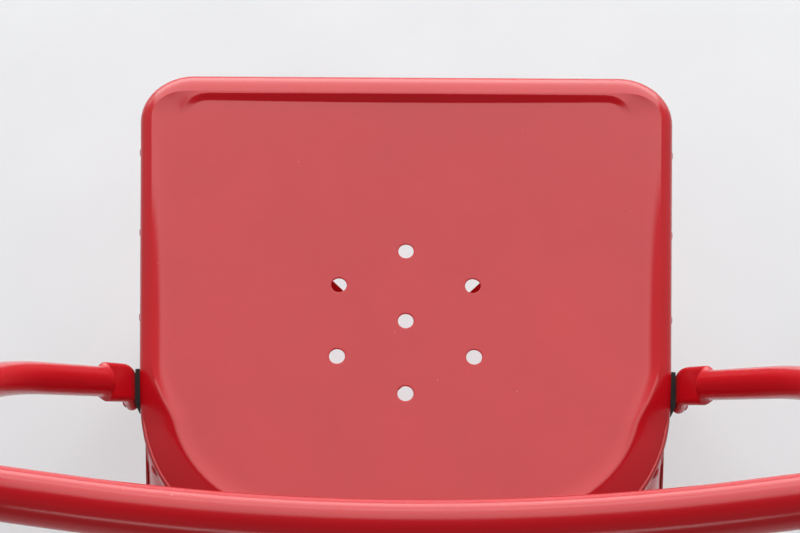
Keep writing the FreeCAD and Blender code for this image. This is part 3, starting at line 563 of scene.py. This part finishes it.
def build_seat(sizes):
    """The seat's upper face, with each point's share of the softening of cut edges."""
    rings = seat_rings(sizes)
    points = flat(rings)
    faces = skin(rings)
    count = len(rings[0])
    first = len(points) - count
    dish_points, dish_faces, origin = build_dish(rings, sizes)
    number = {}
    for index, sources in enumerate(origin):
        on_border = [s for s in sources if s < count]
        if on_border:
            number[index] = first + on_border[0]
        else:
            number[index] = len(points)
            points.append(dish_points[index])
    faces += [tuple(number[i] for i in face) for face in dish_faces]
    holes = drain_centres(sizes)
    weights = [SKIRT_SOFTENING if i < count else 0 for i in range(len(points))]
    for index in range(first + count, len(points)):
        if min((points[index].xy - c).length for c in holes) < sizes.drain_radius + HOLE_COLLAR / 4:
            weights[index] = 1
    return points, faces, weights


# Legs

# The legs' outer face lies inside the skirt by the skirt's gauge and the fit gap
LEG_INSET = 0.0012 + FIT_GAP
LEG_TOP_Z = -0.009
LEG_END_Z = -0.439
# Crowns of the front and rear arches and of the side arches
ARCH_Z = -0.03
SIDE_ARCH_Z = -0.056
# A row this far over each crown keeps the arch's edge sharp
CROWN_LIFT = 0.0006
# Seam between the front and the rear leg over the side arch
LEG_SPLIT = 0.001
# Rows of a leg: over the skirt's lower edge, from there to the hip, and from the hip to the end
LEG_TOP_ROWS = (LEG_TOP_Z, -0.016, -0.022)
FLARE_STEPS = 14
LEG_STEPS = 30
# Points of a row: on the front or rear face, round the front and rear corners, and on the side
LEG_FACE_POINTS = 9
LEG_FRONT_ARC_POINTS = 16
LEG_REAR_ARC_POINTS = 24
LEG_SIDE_POINTS = 14
HEM_POINTS = 14
# Least distance between two stations of a hem
HEM_STEP = 0.0015
# Rounding of the cut edges of legs and slat, and of the seat
SHEET_EDGE = 0.0002
SEAT_EDGE = 0.00055


def leg_outline(z):
    """Outline round all four legs at one height: the skirt's at the top, the hip's and the foot's below."""
    tucked = SEAT.inset(LEG_INSET)
    if z >= SKIRT_Z:
        return tucked
    straight = HIP.mixed(FOOT, (HIP_Z - z) / (HIP_Z - FLOOR_Z))
    return tucked.mixed(straight, smooth((SKIRT_Z - z) / (SKIRT_Z - HIP_Z)))


class Flare:
    """Edge of an arch between two legs: a straight flare that bends into the crown."""

    def __init__(self, foot, corner, radius, inward, crown_z):
        way = Vector((foot - corner, FLOOR_Z - crown_z))
        half = way.angle(Vector((inward, 0))) / 2
        reach = radius / math.tan(half)
        self.foot = foot
        self.corner = corner
        self.radius = radius
        self.inward = inward
        self.crown_z = crown_z
        self.crown = corner + inward * reach
        self.bend_z = crown_z + way.normalized().y * reach

    def at(self, z):
        """Place of the edge along its side at one height."""
        if z <= self.bend_z:
            return self.foot + (self.corner - self.foot) * (z - FLOOR_Z) / (self.crown_z - FLOOR_Z)
        if z >= self.crown_z:
            return self.crown
        rise = z - (self.crown_z - self.radius)
        return self.crown - self.inward * math.sqrt(max(0, self.radius ** 2 - rise ** 2))

    def levels(self):
        """Heights that divide the bend into even turns."""
        last = math.acos(min(1, (self.bend_z - self.crown_z + self.radius) / self.radius))
        return [self.crown_z - self.radius * (1 - math.cos(t)) for t in spread(0, last, FLARE_STEPS + 1)]


# Place of the edge at the floor, where it would meet the crown's height, the bend's radius, the way to
# the crown, and the crown's height
FRONT_FLARE = Flare(0.192, 0.135, 0.075, -1, ARCH_Z)
REAR_FLARE = Flare(0.175, 0.08, 0.05, -1, ARCH_Z)
SIDE_FRONT_FLARE = Flare(-0.1815, -0.1285, 0.165, 1, SIDE_ARCH_Z)
SIDE_REAR_FLARE = Flare(0.2355, 0.0705, 0.05, -1, SIDE_ARCH_Z)


def leg_levels(first, second):
    """Heights of the rows of a leg between two arches, from its end up."""
    levels = set(first.levels() + second.levels())
    levels.update((*LEG_TOP_ROWS, ARCH_Z + CROWN_LIFT, SIDE_ARCH_Z + CROWN_LIFT))
    levels.update(spread(SKIRT_Z, HIP_Z, FLARE_STEPS + 1))
    levels.update(spread(HIP_Z, LEG_END_Z, LEG_STEPS + 1))
    ordered = sorted(levels)
    return [z for z, above in zip(ordered, ordered[1:] + [1]) if above - z > LEVEL]


def front_leg_row(z):
    """Outer face of the right front leg at one height, from the front arch round to the side arch."""
    outline = leg_outline(z)
    corner = outline.front_arc(LEG_FRONT_ARC_POINTS)
    first = Vector((FRONT_FLARE.at(z), corner[0].y))
    last = outline.on_side(SIDE_FRONT_FLARE.at(z))
    face = line(first, corner[0], LEG_FACE_POINTS)
    return face[:-1] + corner[:-1] + line(corner[-1], last, LEG_SIDE_POINTS)


def rear_leg_row(z):
    """Outer face of the right rear leg at one height, from the side arch round to the rear arch."""
    outline = leg_outline(z)
    corner = outline.rear_arc(LEG_REAR_ARC_POINTS)
    split = SIDE_FRONT_FLARE.crown + LEG_SPLIT
    first = outline.on_side(split if z > SIDE_ARCH_Z else SIDE_REAR_FLARE.at(z))
    stop = math.acos(REAR_FLARE.at(z) / outline.edge_r)
    bow = arc(outline.edge_middle(), outline.edge_r, outline.edge_angle(), stop, LEG_FACE_POINTS)
    return line(first, corner[0], LEG_SIDE_POINTS)[:-1] + corner[:-1] + bow


def build_leg(row, levels):
    """Rows of a leg's outer face, from its end up."""
    return [[Vector((p.x, p.y, z)) + PLACE for p in row(z)] for z in levels]


def edge_hem(rings, column, crown_z, radius):
    """Rolled hem behind one free edge of a leg, flush with its outer face, up to the arch's crown."""
    neighbour = 1 if column == 0 else -2
    low = [ring for ring in rings if ring[0].z < PLACE.z + crown_z + CROWN_LIFT / 6]
    kept = [low[0]]
    for ring in low[1:]:
        if (ring[column] - kept[-1][column]).length > HEM_STEP:
            kept.append(ring)
    edges = [ring[column] for ring in kept]
    path = []
    for index, ring in enumerate(kept):
        edge = edges[index]
        row = (ring[neighbour] - edge).normalized()
        out = row.cross(UP).normalized()
        if out.dot(edge - PLACE) < 0:
            out.negate()
        into = out.cross(heading(edges, index)).normalized()
        if into.dot(row + UP) < 0:
            into.negate()
        path.append(edge + (into - out) * radius)
    return sweep(path, lambda index: circle(radius, HEM_POINTS), Vector((1, 0, 0)))


def joined(groups):
    """Several meshes as one."""
    points = []
    faces = []
    for some_points, some_faces in groups:
        start = len(points)
        points += some_points
        faces += [tuple(start + i for i in face) for face in some_faces]
    return points, faces


# Back hoop

# The hoop's ends stand off the skirt by the packing plate
HOOP_Y = 0.045
HOOP_GAP = 0.003
END_DROP = 0.027
END_BEND_DROP = 0.003
KNEE = Vector((0.211, 0.096, 0.13))
HOOP_HALF_WIDTH = 0.217
RAIL_Y = 0.2495
RAIL_Z = 0.378
RAIL_BOW = 0.82
RAIL_BOW_HALF = 0.11
# Radius and points of the bends over the flattened end, at the knee and at the upper corner
END_BEND = (0.03, 8)
KNEE_BEND = (0.3, 16)
CORNER_BEND = (0.092, 30)
# Length and steps of the change from flat to round, and steps of the rounded end
SHOULDER = 0.005
SHOULDER_STEPS = 8
RAIL_STEPS = 16
# Gaps between stations on the flattened stretch and on the round tube
FLAT_GAP = 0.004
ROUND_GAP = 0.006
TUBE_POINTS = 44


def quarter(radius):
    """How far a rounded end has come in from its tip, over a quarter turn."""
    return [radius * (1 - math.cos(t)) for t in spread(0, math.pi / 2, SHOULDER_STEPS + 1)]


def fillet(before, corner, after, radius, count):
    """Arc of a bend between two straight runs."""
    back = (before - corner).normalized()
    ahead = (after - corner).normalized()
    half = back.angle(ahead) / 2
    start = corner + back * (radius / math.tan(half))
    end = corner + ahead * (radius / math.tan(half))
    centre = corner + (back + ahead).normalized() * (radius / math.sin(half))
    a = start - centre
    turn = a.angle(end - centre)
    axis = a.cross(end - centre).normalized()
    return [centre + Quaternion(axis, t) @ a for t in spread(0, turn, count)]


def spaced(first, last, gap):
    return line(first, last, max(2, int((last - first).length / gap) + 1))


def hoop_path(sizes):
    """Centre line of the hoop's right half from its end to the top rail's middle; also the station
    where the flattened end starts to turn round, and the direction of its width."""
    normal = unit(SEAT.side_angle()).to_3d()
    along = Vector((-normal.y, normal.x, 0))
    base = SEAT.on_side(HOOP_Y).to_3d() + normal * (HOOP_GAP + sizes.end_half_thick)
    foot = base - UP * END_DROP
    bend = base - UP * END_BEND_DROP
    lean = math.asin(RAIL_BOW_HALF / RAIL_BOW)
    rail = [
        Vector((RAIL_BOW * math.sin(t), RAIL_Y - RAIL_BOW * (1 - math.cos(t)), RAIL_Z))
        for t in spread(lean, 0, RAIL_STEPS + 1)
    ]
    past = HOOP_HALF_WIDTH - RAIL_BOW_HALF
    corner = rail[0] + Vector((past, -past * math.tan(lean), 0))
    low = fillet(foot, bend, KNEE, *END_BEND)
    middle = fillet(bend, KNEE, corner, *KNEE_BEND)
    high = fillet(KNEE, corner, rail[0], *CORNER_BEND)
    rise = (KNEE - bend).normalized()
    flat_end = low[-1] + rise * sizes.end_flat
    round_start = flat_end + rise * SHOULDER
    path = [foot + UP * height for height in quarter(sizes.end_round)]
    path += spaced(path[-1], low[0], FLAT_GAP)[1:-1] + low[:-1]
    path += spaced(low[-1], flat_end, FLAT_GAP)[:-1]
    shoulder = len(path)
    path += line(flat_end, round_start, SHOULDER_STEPS + 1)[:-1]
    path += spaced(round_start, middle[0], ROUND_GAP)[:-1] + middle[:-1]
    path += spaced(middle[-1], high[0], ROUND_GAP)[:-1] + high[:-1]
    path += spaced(high[-1], rail[0], ROUND_GAP)[:-1] + rail
    return path, shoulder, along


def tube_section(sizes, share, narrower):
    """Outline of the tube's section: flattened at share 0, round at share 1."""
    thick = sizes.end_half_thick + (sizes.tube_radius - sizes.end_half_thick) * share
    wide = sizes.end_half_width + (sizes.tube_radius - sizes.end_half_width) * share
    wide -= min(narrower, wide - thick)
    points = []
    for i in range(TUBE_POINTS):
        turn = 2 * math.pi * (i + 0.5) / TUBE_POINTS
        x = thick * math.cos(turn) + math.copysign(wide - thick, math.cos(turn))
        points.append((x, thick * math.sin(turn)))
    return points


def build_hoop(sizes):
    """The whole hoop, from one rounded and flattened end to the other."""
    half, shoulder, along = hoop_path(sizes)
    path = half + [Vector((-p.x, p.y, p.z)) for p in reversed(half[:-1])]
    last = len(path) - 1

    def section(index):
        place = min(index, last - index)
        share = smooth((place - shoulder) / SHOULDER_STEPS)
        end = min(1, (half[place] - half[0]).length / sizes.end_round)
        return tube_section(sizes, share, sizes.end_round * (1 - math.sqrt(1 - (1 - end) ** 2)))

    return sweep([p + PLACE for p in path], section, along)


# Slat

# The slat reaches this far below the seat's rim and over the rail's axis
SLAT_DROP = 0.025
SLAT_RISE = 0.007
SLAT_CORNER = 0.012
SLAT_FOOT_HALF = 0.046
SLAT_TOP_HALF = 0.039
SLAT_COLUMNS = 64
SLAT_STEPS = 40
# Stations close together near the bend at the rim, and over the ribs' ends
BEND_REACH = 0.002
RIB_END = 0.006
RIB_END_STEPS = 8
RIB_X = 0.024
RIB_HALF_WIDTH = 0.0052
RIB_POWER = 0.8
# Plain slat between the bend or the top and a rib
RIB_MARGIN = 0.045


def slat_frame(tube_radius):
    """Where the slat leaves the skirt, its direction to the back of the rail, and its outward normal."""
    start = Vector((0, SEAT.edge_middle().y + SEAT.edge_r + FIT_GAP, 0))
    rail = Vector((0, RAIL_Y, RAIL_Z)) - start
    lean = math.atan2(rail.y, rail.z) + math.asin((tube_radius + FIT_GAP) / rail.length)
    up = Vector((0, math.sin(lean), math.cos(lean)))
    return start, up, Vector((0, up.z, -up.y))


def slat_stations(total):
    """Places of the rows along the slat, close together where its form changes."""
    bend = SLAT_DROP
    first = bend + RIB_MARGIN
    last = total - RIB_MARGIN
    stations = quarter(SLAT_CORNER) + [total - s for s in quarter(SLAT_CORNER)]
    stations += [bend - BEND_REACH, bend, bend + BEND_REACH]
    for end in (first, last):
        stations += spread(end - RIB_END, end + RIB_END, RIB_END_STEPS + 1)
    stations += spread(first + RIB_END, last - RIB_END, SLAT_STEPS + 1)
    return sorted(set(round(s, 6) for s in stations))


def build_slat(sizes, gauge):
    """Outer face of the slat, from its foot on the skirt to its top behind the rail."""
    start, up, out = slat_frame(sizes.tube_radius)
    total = SLAT_DROP + (RAIL_Z + SLAT_RISE) / up.z
    rings = []
    for s in slat_stations(total):
        half = SLAT_FOOT_HALF + (SLAT_TOP_HALF - SLAT_FOOT_HALF) * s / total
        nearest = min(s, total - s)
        if nearest < SLAT_CORNER:
            half -= SLAT_CORNER - math.sqrt(max(0, SLAT_CORNER ** 2 - (SLAT_CORNER - nearest) ** 2))
        below = s <= SLAT_DROP
        way, face = (UP, Vector((0, 1, 0))) if below else (up, out)
        middle = start + way * (s - SLAT_DROP) + PLACE
        ring = []
        for x in spread(-half, half, SLAT_COLUMNS + 1):
            ring.append(middle + Vector((x, 0, 0)) + face * (gauge + rib_profile(x, s, total, sizes)))
        rings.append(ring)
    return rings


def rib_profile(x, s, total, sizes):
    """Height of the two pressed ribs over the slat: round swells that run out at both ends."""
    run = max(0, SLAT_DROP + RIB_MARGIN - s, s - (total - RIB_MARGIN))
    away = math.hypot(abs(x) - RIB_X, run)
    if away >= RIB_HALF_WIDTH:
        return 0
    return sizes.rib_height * (0.5 + 0.5 * math.cos(math.pi * away / RIB_HALF_WIDTH)) ** RIB_POWER


# Materials


def linear(hexcode):
    """sRGB hex to linear RGBA."""
    values = [int(hexcode[i:i + 2], 16) / 255 for i in (1, 3, 5)]
    return [v / 12.92 if v <= 0.04045 else ((v + 0.055) / 1.055) ** 2.4 for v in values] + [1]


def add(tree, kind, inputs, **settings):
    """Adds a node with its settings; each input is a value or the socket that feeds it."""
    node = tree.nodes.new(kind)
    for name, value in settings.items():
        setattr(node, name, value)
    for key, value in inputs.items():
        if isinstance(value, bpy.types.NodeSocket):
            tree.links.new(value, node.inputs[key])
        else:
            node.inputs[key].default_value = value
    return node


def per_mm(millimetres):
    """Noise scale whose grains are this far apart; object coordinates are in metres."""
    return 1000 / millimetres


def shade(tone, share):
    """A linear colour made lighter or darker."""
    return [min(1, v * share) for v in tone[:3]] + [1]


def blend(tree, share, first, second):
    """Colour between two colours by a share."""
    return add(tree, "ShaderNodeMix", {0: share, 6: first, 7: second}, data_type="RGBA").outputs[2]


def new_material(name):
    material = bpy.data.materials.new(name)
    material.use_nodes = True
    material.node_tree.nodes.clear()
    return material, material.node_tree


def baked_enamel(finish):
    """Baked enamel on pressed steel: a smooth glossy coat, with a faint orange peel from spraying
    that breaks up sharp reflections, a colour that deepens a little where the coat is thicker,
    slow smears from wiping in its gloss, and single pale dust motes."""
    material, tree = new_material("Red baked enamel on pressed steel")
    place = add(tree, "ShaderNodeTexCoord", {}).outputs["Object"]
    cloud = add(tree, "ShaderNodeTexNoise", {"Vector": place, "Scale": per_mm(70), "Detail": 3})
    tone = linear(finish.enamel)
    coat = blend(tree, cloud.outputs["Fac"], shade(tone, 0.9), shade(tone, 1.07))
    grit = add(tree, "ShaderNodeTexVoronoi", {"Vector": place, "Scale": per_mm(17), "Randomness": 1.0})
    mote = add(tree, "ShaderNodeMapRange", {
        "Value": grit.outputs["Distance"], "From Min": 0.012, "From Max": 0.028, "To Min": 0.35, "To Max": 0.0})
    dusty = blend(tree, mote.outputs["Result"], coat, linear("#D9A9A6"))
    peel = add(tree, "ShaderNodeTexNoise", {"Vector": place, "Scale": per_mm(2.4), "Detail": 1})
    bump = add(tree, "ShaderNodeBump", {"Height": peel.outputs["Fac"], "Strength": 0.35, "Distance": 0.00004})
    smear = add(tree, "ShaderNodeTexNoise", {"Vector": place, "Scale": per_mm(25), "Detail": 4})
    rough = add(tree, "ShaderNodeMapRange", {"Value": smear.outputs["Fac"], "To Min": 0.13, "To Max": 0.24})
    shader = add(tree, "ShaderNodeBsdfPrincipled", {
        "Base Color": dusty, "Roughness": rough.outputs["Result"], "Normal": bump.outputs["Normal"],
    })
    add(tree, "ShaderNodeOutputMaterial", {"Surface": shader.outputs[0]})
    return material


def moulded_rubber(finish):
    """Moulded black rubber: matt, with a fine grain from the mould and grey dust on it."""
    # The mould's real grain is about 0.2 mm, too fine to show, so it is drawn at 0.8 mm
    # The feet are black rubber; on the packing plates the same black is painted shade that stands in for the
    # gap under the hoop's ends
    material, tree = new_material("Black moulded rubber and painted gap shade")
    place = add(tree, "ShaderNodeTexCoord", {}).outputs["Object"]
    dust = add(tree, "ShaderNodeTexNoise", {"Vector": place, "Scale": per_mm(9), "Detail": 5})
    share = add(tree, "ShaderNodeMapRange", {"Value": dust.outputs["Fac"], "To Min": 0.0, "To Max": 0.1})
    dusted = blend(tree, share.outputs["Result"], linear(finish.rubber), linear("#6A6764"))
    grain = add(tree, "ShaderNodeTexNoise", {"Vector": place, "Scale": per_mm(0.8), "Detail": 2})
    bump = add(tree, "ShaderNodeBump", {"Height": grain.outputs["Fac"], "Strength": 0.5, "Distance": 0.0001})
    shader = add(tree, "ShaderNodeBsdfPrincipled", {
        "Base Color": dusted, "Roughness": 0.8, "Normal": bump.outputs["Normal"],
    })
    add(tree, "ShaderNodeOutputMaterial", {"Surface": shader.outputs[0]})
    return material


def painted_floor(finish):
    """Pale sealed floor: nearly even, with faint clouds and a few grey specks."""
    material, tree = new_material("Pale sealed floor")
    place = add(tree, "ShaderNodeTexCoord", {}).outputs["Object"]
    cloud = add(tree, "ShaderNodeTexNoise", {"Vector": place, "Scale": per_mm(160), "Detail": 5})
    tone = linear(finish.floor)
    clouded = blend(tree, cloud.outputs["Fac"], shade(tone, 0.94), shade(tone, 1.04))
    grit = add(tree, "ShaderNodeTexVoronoi", {"Vector": place, "Scale": per_mm(95), "Randomness": 1.0})
    speck = add(tree, "ShaderNodeMapRange", {
        "Value": grit.outputs["Distance"], "From Min": 0.008, "From Max": 0.014, "To Min": 0.45, "To Max": 0.0})
    specked = blend(tree, speck.outputs["Result"], clouded, linear("#5A5856"))
    shader = add(tree, "ShaderNodeBsdfPrincipled", {
        "Base Color": specked, "Roughness": 0.85, "Specular IOR Level": 0.2})
    add(tree, "ShaderNodeOutputMaterial", {"Surface": shader.outputs[0]})
    return material


def finish_of(name, maker):
    """The finish, made once."""
    if name not in bpy.data.materials:
        return maker(bpy.context.scene.chair_finish)
    return bpy.data.materials[name]


def enamel():
    return finish_of("Red baked enamel on pressed steel", baked_enamel)


def rubber():
    return finish_of("Black moulded rubber and painted gap shade", moulded_rubber)


# Stage

FLOOR_HALF = 6
# Each softbox: where it stands, what it faces, its width, height and brightness. Stacked ones make the
# light fade to the edge, and stand 30 mm apart because in one plane they would count once.
SOFTBOXES = (
    ("Front window", (0, -3.2, 0.9), (0, 0, 0.9), 4.2, 1.2, 2.6),
    ("Front window sides", (0, -3.23, 0.9), (0, 0, 0.9), 6.4, 1.2, 1.4),
    ("Upper front window", (0, -3.2, 2.3), (0, 0, 2.3), 4.6, 1.6, 2.5),
    ("Overhead softbox", (-0.15, -1.2, 2.4), (-0.15, -0.1, 0.44), 2.5, 1.9, 0.66),
    ("Overhead softbox", (-0.15, -1.2, 2.43), (-0.15, -0.1, 0.47), 2.1, 1.7, 0.66),
    ("Overhead softbox", (-0.15, -1.2, 2.46), (-0.15, -0.1, 0.5), 1.7, 1.5, 0.66),
    ("Rear strip", (0, 3.0, 2.2), (0, 0, 0.6), 3.0, 0.5, 2.5),
)
CAMERA_PLACE = (0.00386, 0.3556, 1.27365)
CAMERA_DOWN = math.radians(63.24)
CAMERA_ROLL = math.radians(0.35)
CAMERA_LENS = 64.65


# Operators


class CHAIR_OT_stage(bpy.types.Operator):
    """Floor, soft studio light and the camera"""

    bl_idname = "chair.stage"
    bl_label = "Stage"

    def execute(self, context):
        scene = context.scene
        scene.view_settings.view_transform = "Standard"
        corners = [(x * FLOOR_HALF, y * FLOOR_HALF, 0) for x, y in ((-1, -1), (1, -1), (1, 1), (-1, 1))]
        floor = new_object("floor", corners, [(0, 1, 2, 3)])
        floor.data.materials.append(painted_floor(scene.chair_finish))
        self.world(scene)
        for softbox in SOFTBOXES:
            self.softbox(*softbox)
        self.camera(scene)
        return {"FINISHED"}

    def world(self, scene):
        """A plain room: pale in front, darker behind, darkest overhead."""
        world = bpy.data.worlds.new("Room")
        scene.world = world
        world.use_nodes = True
        tree = world.node_tree
        tree.nodes.clear()
        way = add(tree, "ShaderNodeTexCoord", {}).outputs["Generated"]
        split = add(tree, "ShaderNodeSeparateXYZ", {"Vector": way})
        walls = add(tree, "ShaderNodeMapRange", {
            "Value": split.outputs["Y"], "From Min": -0.3, "From Max": 0.5, "To Min": 0.55, "To Max": 0.22})
        ceiling = add(tree, "ShaderNodeMapRange", {
            "Value": split.outputs["Z"], "From Min": 0.8, "From Max": 0.95, "To Min": 1.0, "To Max": 0.35})
        strength = add(tree, "ShaderNodeMath", {
            0: walls.outputs["Result"], 1: ceiling.outputs["Result"]}, operation="MULTIPLY")
        background = add(tree, "ShaderNodeBackground", {
            "Color": linear("#FFFFFF"), "Strength": strength.outputs["Value"]})
        add(tree, "ShaderNodeOutputWorld", {"Surface": background.outputs[0]})

    def softbox(self, name, place, target, width, height, radiance):
        """A rectangular lamp that shows in the enamel but not to the camera."""
        light = bpy.data.lights.new(name, "AREA")
        light.shape = "RECTANGLE"
        light.size = width
        light.size_y = height
        light.energy = radiance * math.pi * width * height
        lamp = bpy.data.objects.new(name, light)
        lamp.location = place
        lamp.visible_camera = False
        lamp.rotation_euler = (Vector(target) - Vector(place)).to_track_quat("-Z", "Y").to_euler()
        bpy.context.scene.collection.objects.link(lamp)

    def camera(self, scene):
        """Behind the chair and above it, looking down over the rail at the seat."""
        lens = bpy.data.cameras.new("Camera")
        lens.lens = CAMERA_LENS
        camera = bpy.data.objects.new("Camera", lens)
        way = Vector((0, -math.cos(CAMERA_DOWN), -math.sin(CAMERA_DOWN)))
        turn = way.to_track_quat("-Z", "Y") @ Quaternion((0, 0, 1), CAMERA_ROLL)
        camera.location = CAMERA_PLACE
        camera.rotation_euler = turn.to_euler()
        scene.collection.objects.link(camera)
        scene.camera = camera


class CHAIR_OT_seat(bpy.types.Operator):
    """Pressed seat pan with its rim, step, dish and drain holes"""

    bl_idname = "chair.seat"
    bl_label = "Seat"

    def execute(self, context):
        sizes = context.scene.chair_seat
        points, faces, weights = build_seat(sizes)
        made = new_object("seat", points, faces)
        ridge = made.data.attributes.new("sharp_edge", "BOOLEAN", "EDGE").data
        count = 2 * len(SEAT.border()) - 2
        crest = CREST_RING * count
        for edge in made.data.edges:
            low, high = sorted(edge.vertices)
            on_crest = crest <= low and high < crest + count
            if on_crest and RIDGE_FIRST_Y < points[low].y - PLACE.y < RIDGE_LAST_Y:
                ridge[edge.index].value = True
        thicken(made, sizes.gauge, SEAT_EDGE, weights)
        settle(made, enamel(), "red_enamel", "seat_pan")
        return {"FINISHED"}


class CHAIR_OT_legs(bpy.types.Operator):
    """Four folded sheet legs with rolled hems"""

    bl_idname = "chair.legs"
    bl_label = "Legs"

    def execute(self, context):
        sizes = context.scene.chair_legs
        for place, row, flares in (
            ("front", front_leg_row, (FRONT_FLARE, SIDE_FRONT_FLARE)),
            ("rear", rear_leg_row, (SIDE_REAR_FLARE, REAR_FLARE)),
        ):
            rings = build_leg(row, leg_levels(*flares))
            leg = new_object("%s_leg_right" % place, flat(rings), skin(rings, closed=False))
            thicken(leg, sizes.gauge, SHEET_EDGE)
            hems = joined([
                edge_hem(rings, column, flare.crown_z, sizes.hem) for column, flare in zip((0, -1), flares)
            ])
            hem = new_object("%s_hem_right" % place, *hems)
            left = mirror(leg, "%s_leg_left" % place)
            left_hem = mirror(hem, "%s_hem_left" % place)
            settle(leg, enamel(), "red_enamel", "leg_%s_right" % place)
            settle(left, enamel(), "red_enamel", "leg_%s_left" % place)
            settle(hem, enamel(), "red_enamel")
            settle(left_hem, enamel(), "red_enamel")
        return {"FINISHED"}


class CHAIR_OT_back(bpy.types.Operator):
    """Back hoop of steel tube and the sheet slat behind it"""

    bl_idname = "chair.back"
    bl_label = "Back"

    def execute(self, context):
        sizes = context.scene.chair_back
        gauge = context.scene.chair_seat.gauge
        hoop = new_object("hoop", *build_hoop(sizes))
        settle(hoop, enamel(), "red_enamel", "back_hoop")
        rings = build_slat(sizes, gauge)
        slat = new_object("slat", flat(rings), [tuple(reversed(f)) for f in skin(rings, closed=False)])
        thicken(slat, gauge, SHEET_EDGE)
        settle(slat, enamel(), "red_enamel", "back_slat")
        return {"FINISHED"}


class CHAIR_OT_small_parts(bpy.types.Operator):
    """Brace straps, packing plates, rivets and feet"""

    bl_idname = "chair.small_parts"
    bl_label = "Small parts"

    def execute(self, context):
        sizes = context.scene.chair_legs
        for name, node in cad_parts.items():
            if name.startswith("foot_"):
                settle(softened(name, sizes.foot_edge), rubber(), "black_rubber", name)
            elif name.startswith("brace"):
                settle(softened(name, sizes.strap_edge, sizes.strap_fold), enamel(), "red_enamel", name)
            # The packing plates are real parts, but their black is painted shade: it stands in for the deep
            # shadow gap between the hoop's flattened ends and the seat's rim
            elif name.startswith("hoop_spacer"):
                settle(softened(name, sizes.strap_edge), rubber(), "black_rubber", name)
            elif name.startswith("rivet"):
                node.data.materials.clear()
                node.data.materials.append(enamel())
        return {"FINISHED"}


class CHAIR_PT_panel(bpy.types.Panel):
    """Sidebar panel with the chair's pieces"""

    bl_idname = "CHAIR_PT_panel"
    bl_label = "Stacking chair"
    bl_space_type = "VIEW_3D"
    bl_region_type = "UI"
    bl_category = "Chair"

    def draw(self, context):
        for operator in OPERATORS:
            self.layout.operator(operator.bl_idname)
        for name in GROUPS:
            group = getattr(context.scene, name)
            for prop in group.__annotations__:
                self.layout.prop(group, prop)


OPERATORS = (CHAIR_OT_stage, CHAIR_OT_seat, CHAIR_OT_legs, CHAIR_OT_back, CHAIR_OT_small_parts)
GROUPS = {
    "chair_seat": ChairSeatSizes, "chair_legs": ChairLegSizes, "chair_back": ChairBackSizes,
    "chair_finish": ChairFinish,
}


def register():
    for name, group in GROUPS.items():
        bpy.utils.register_class(group)
        setattr(bpy.types.Scene, name, bpy.props.PointerProperty(type=group))
    for operator in OPERATORS:
        bpy.utils.register_class(operator)
    bpy.utils.register_class(CHAIR_PT_panel)


def unregister():
    bpy.utils.unregister_class(CHAIR_PT_panel)
    for operator in reversed(OPERATORS):
        bpy.utils.unregister_class(operator)
    for name, group in GROUPS.items():
        delattr(bpy.types.Scene, name)
        bpy.utils.unregister_class(group)


def main():
    register()
    for operator in OPERATORS:
        group, name = operator.bl_idname.split(".")
        getattr(getattr(bpy.ops, group), name)()


if __name__ == "__main__":
    main()
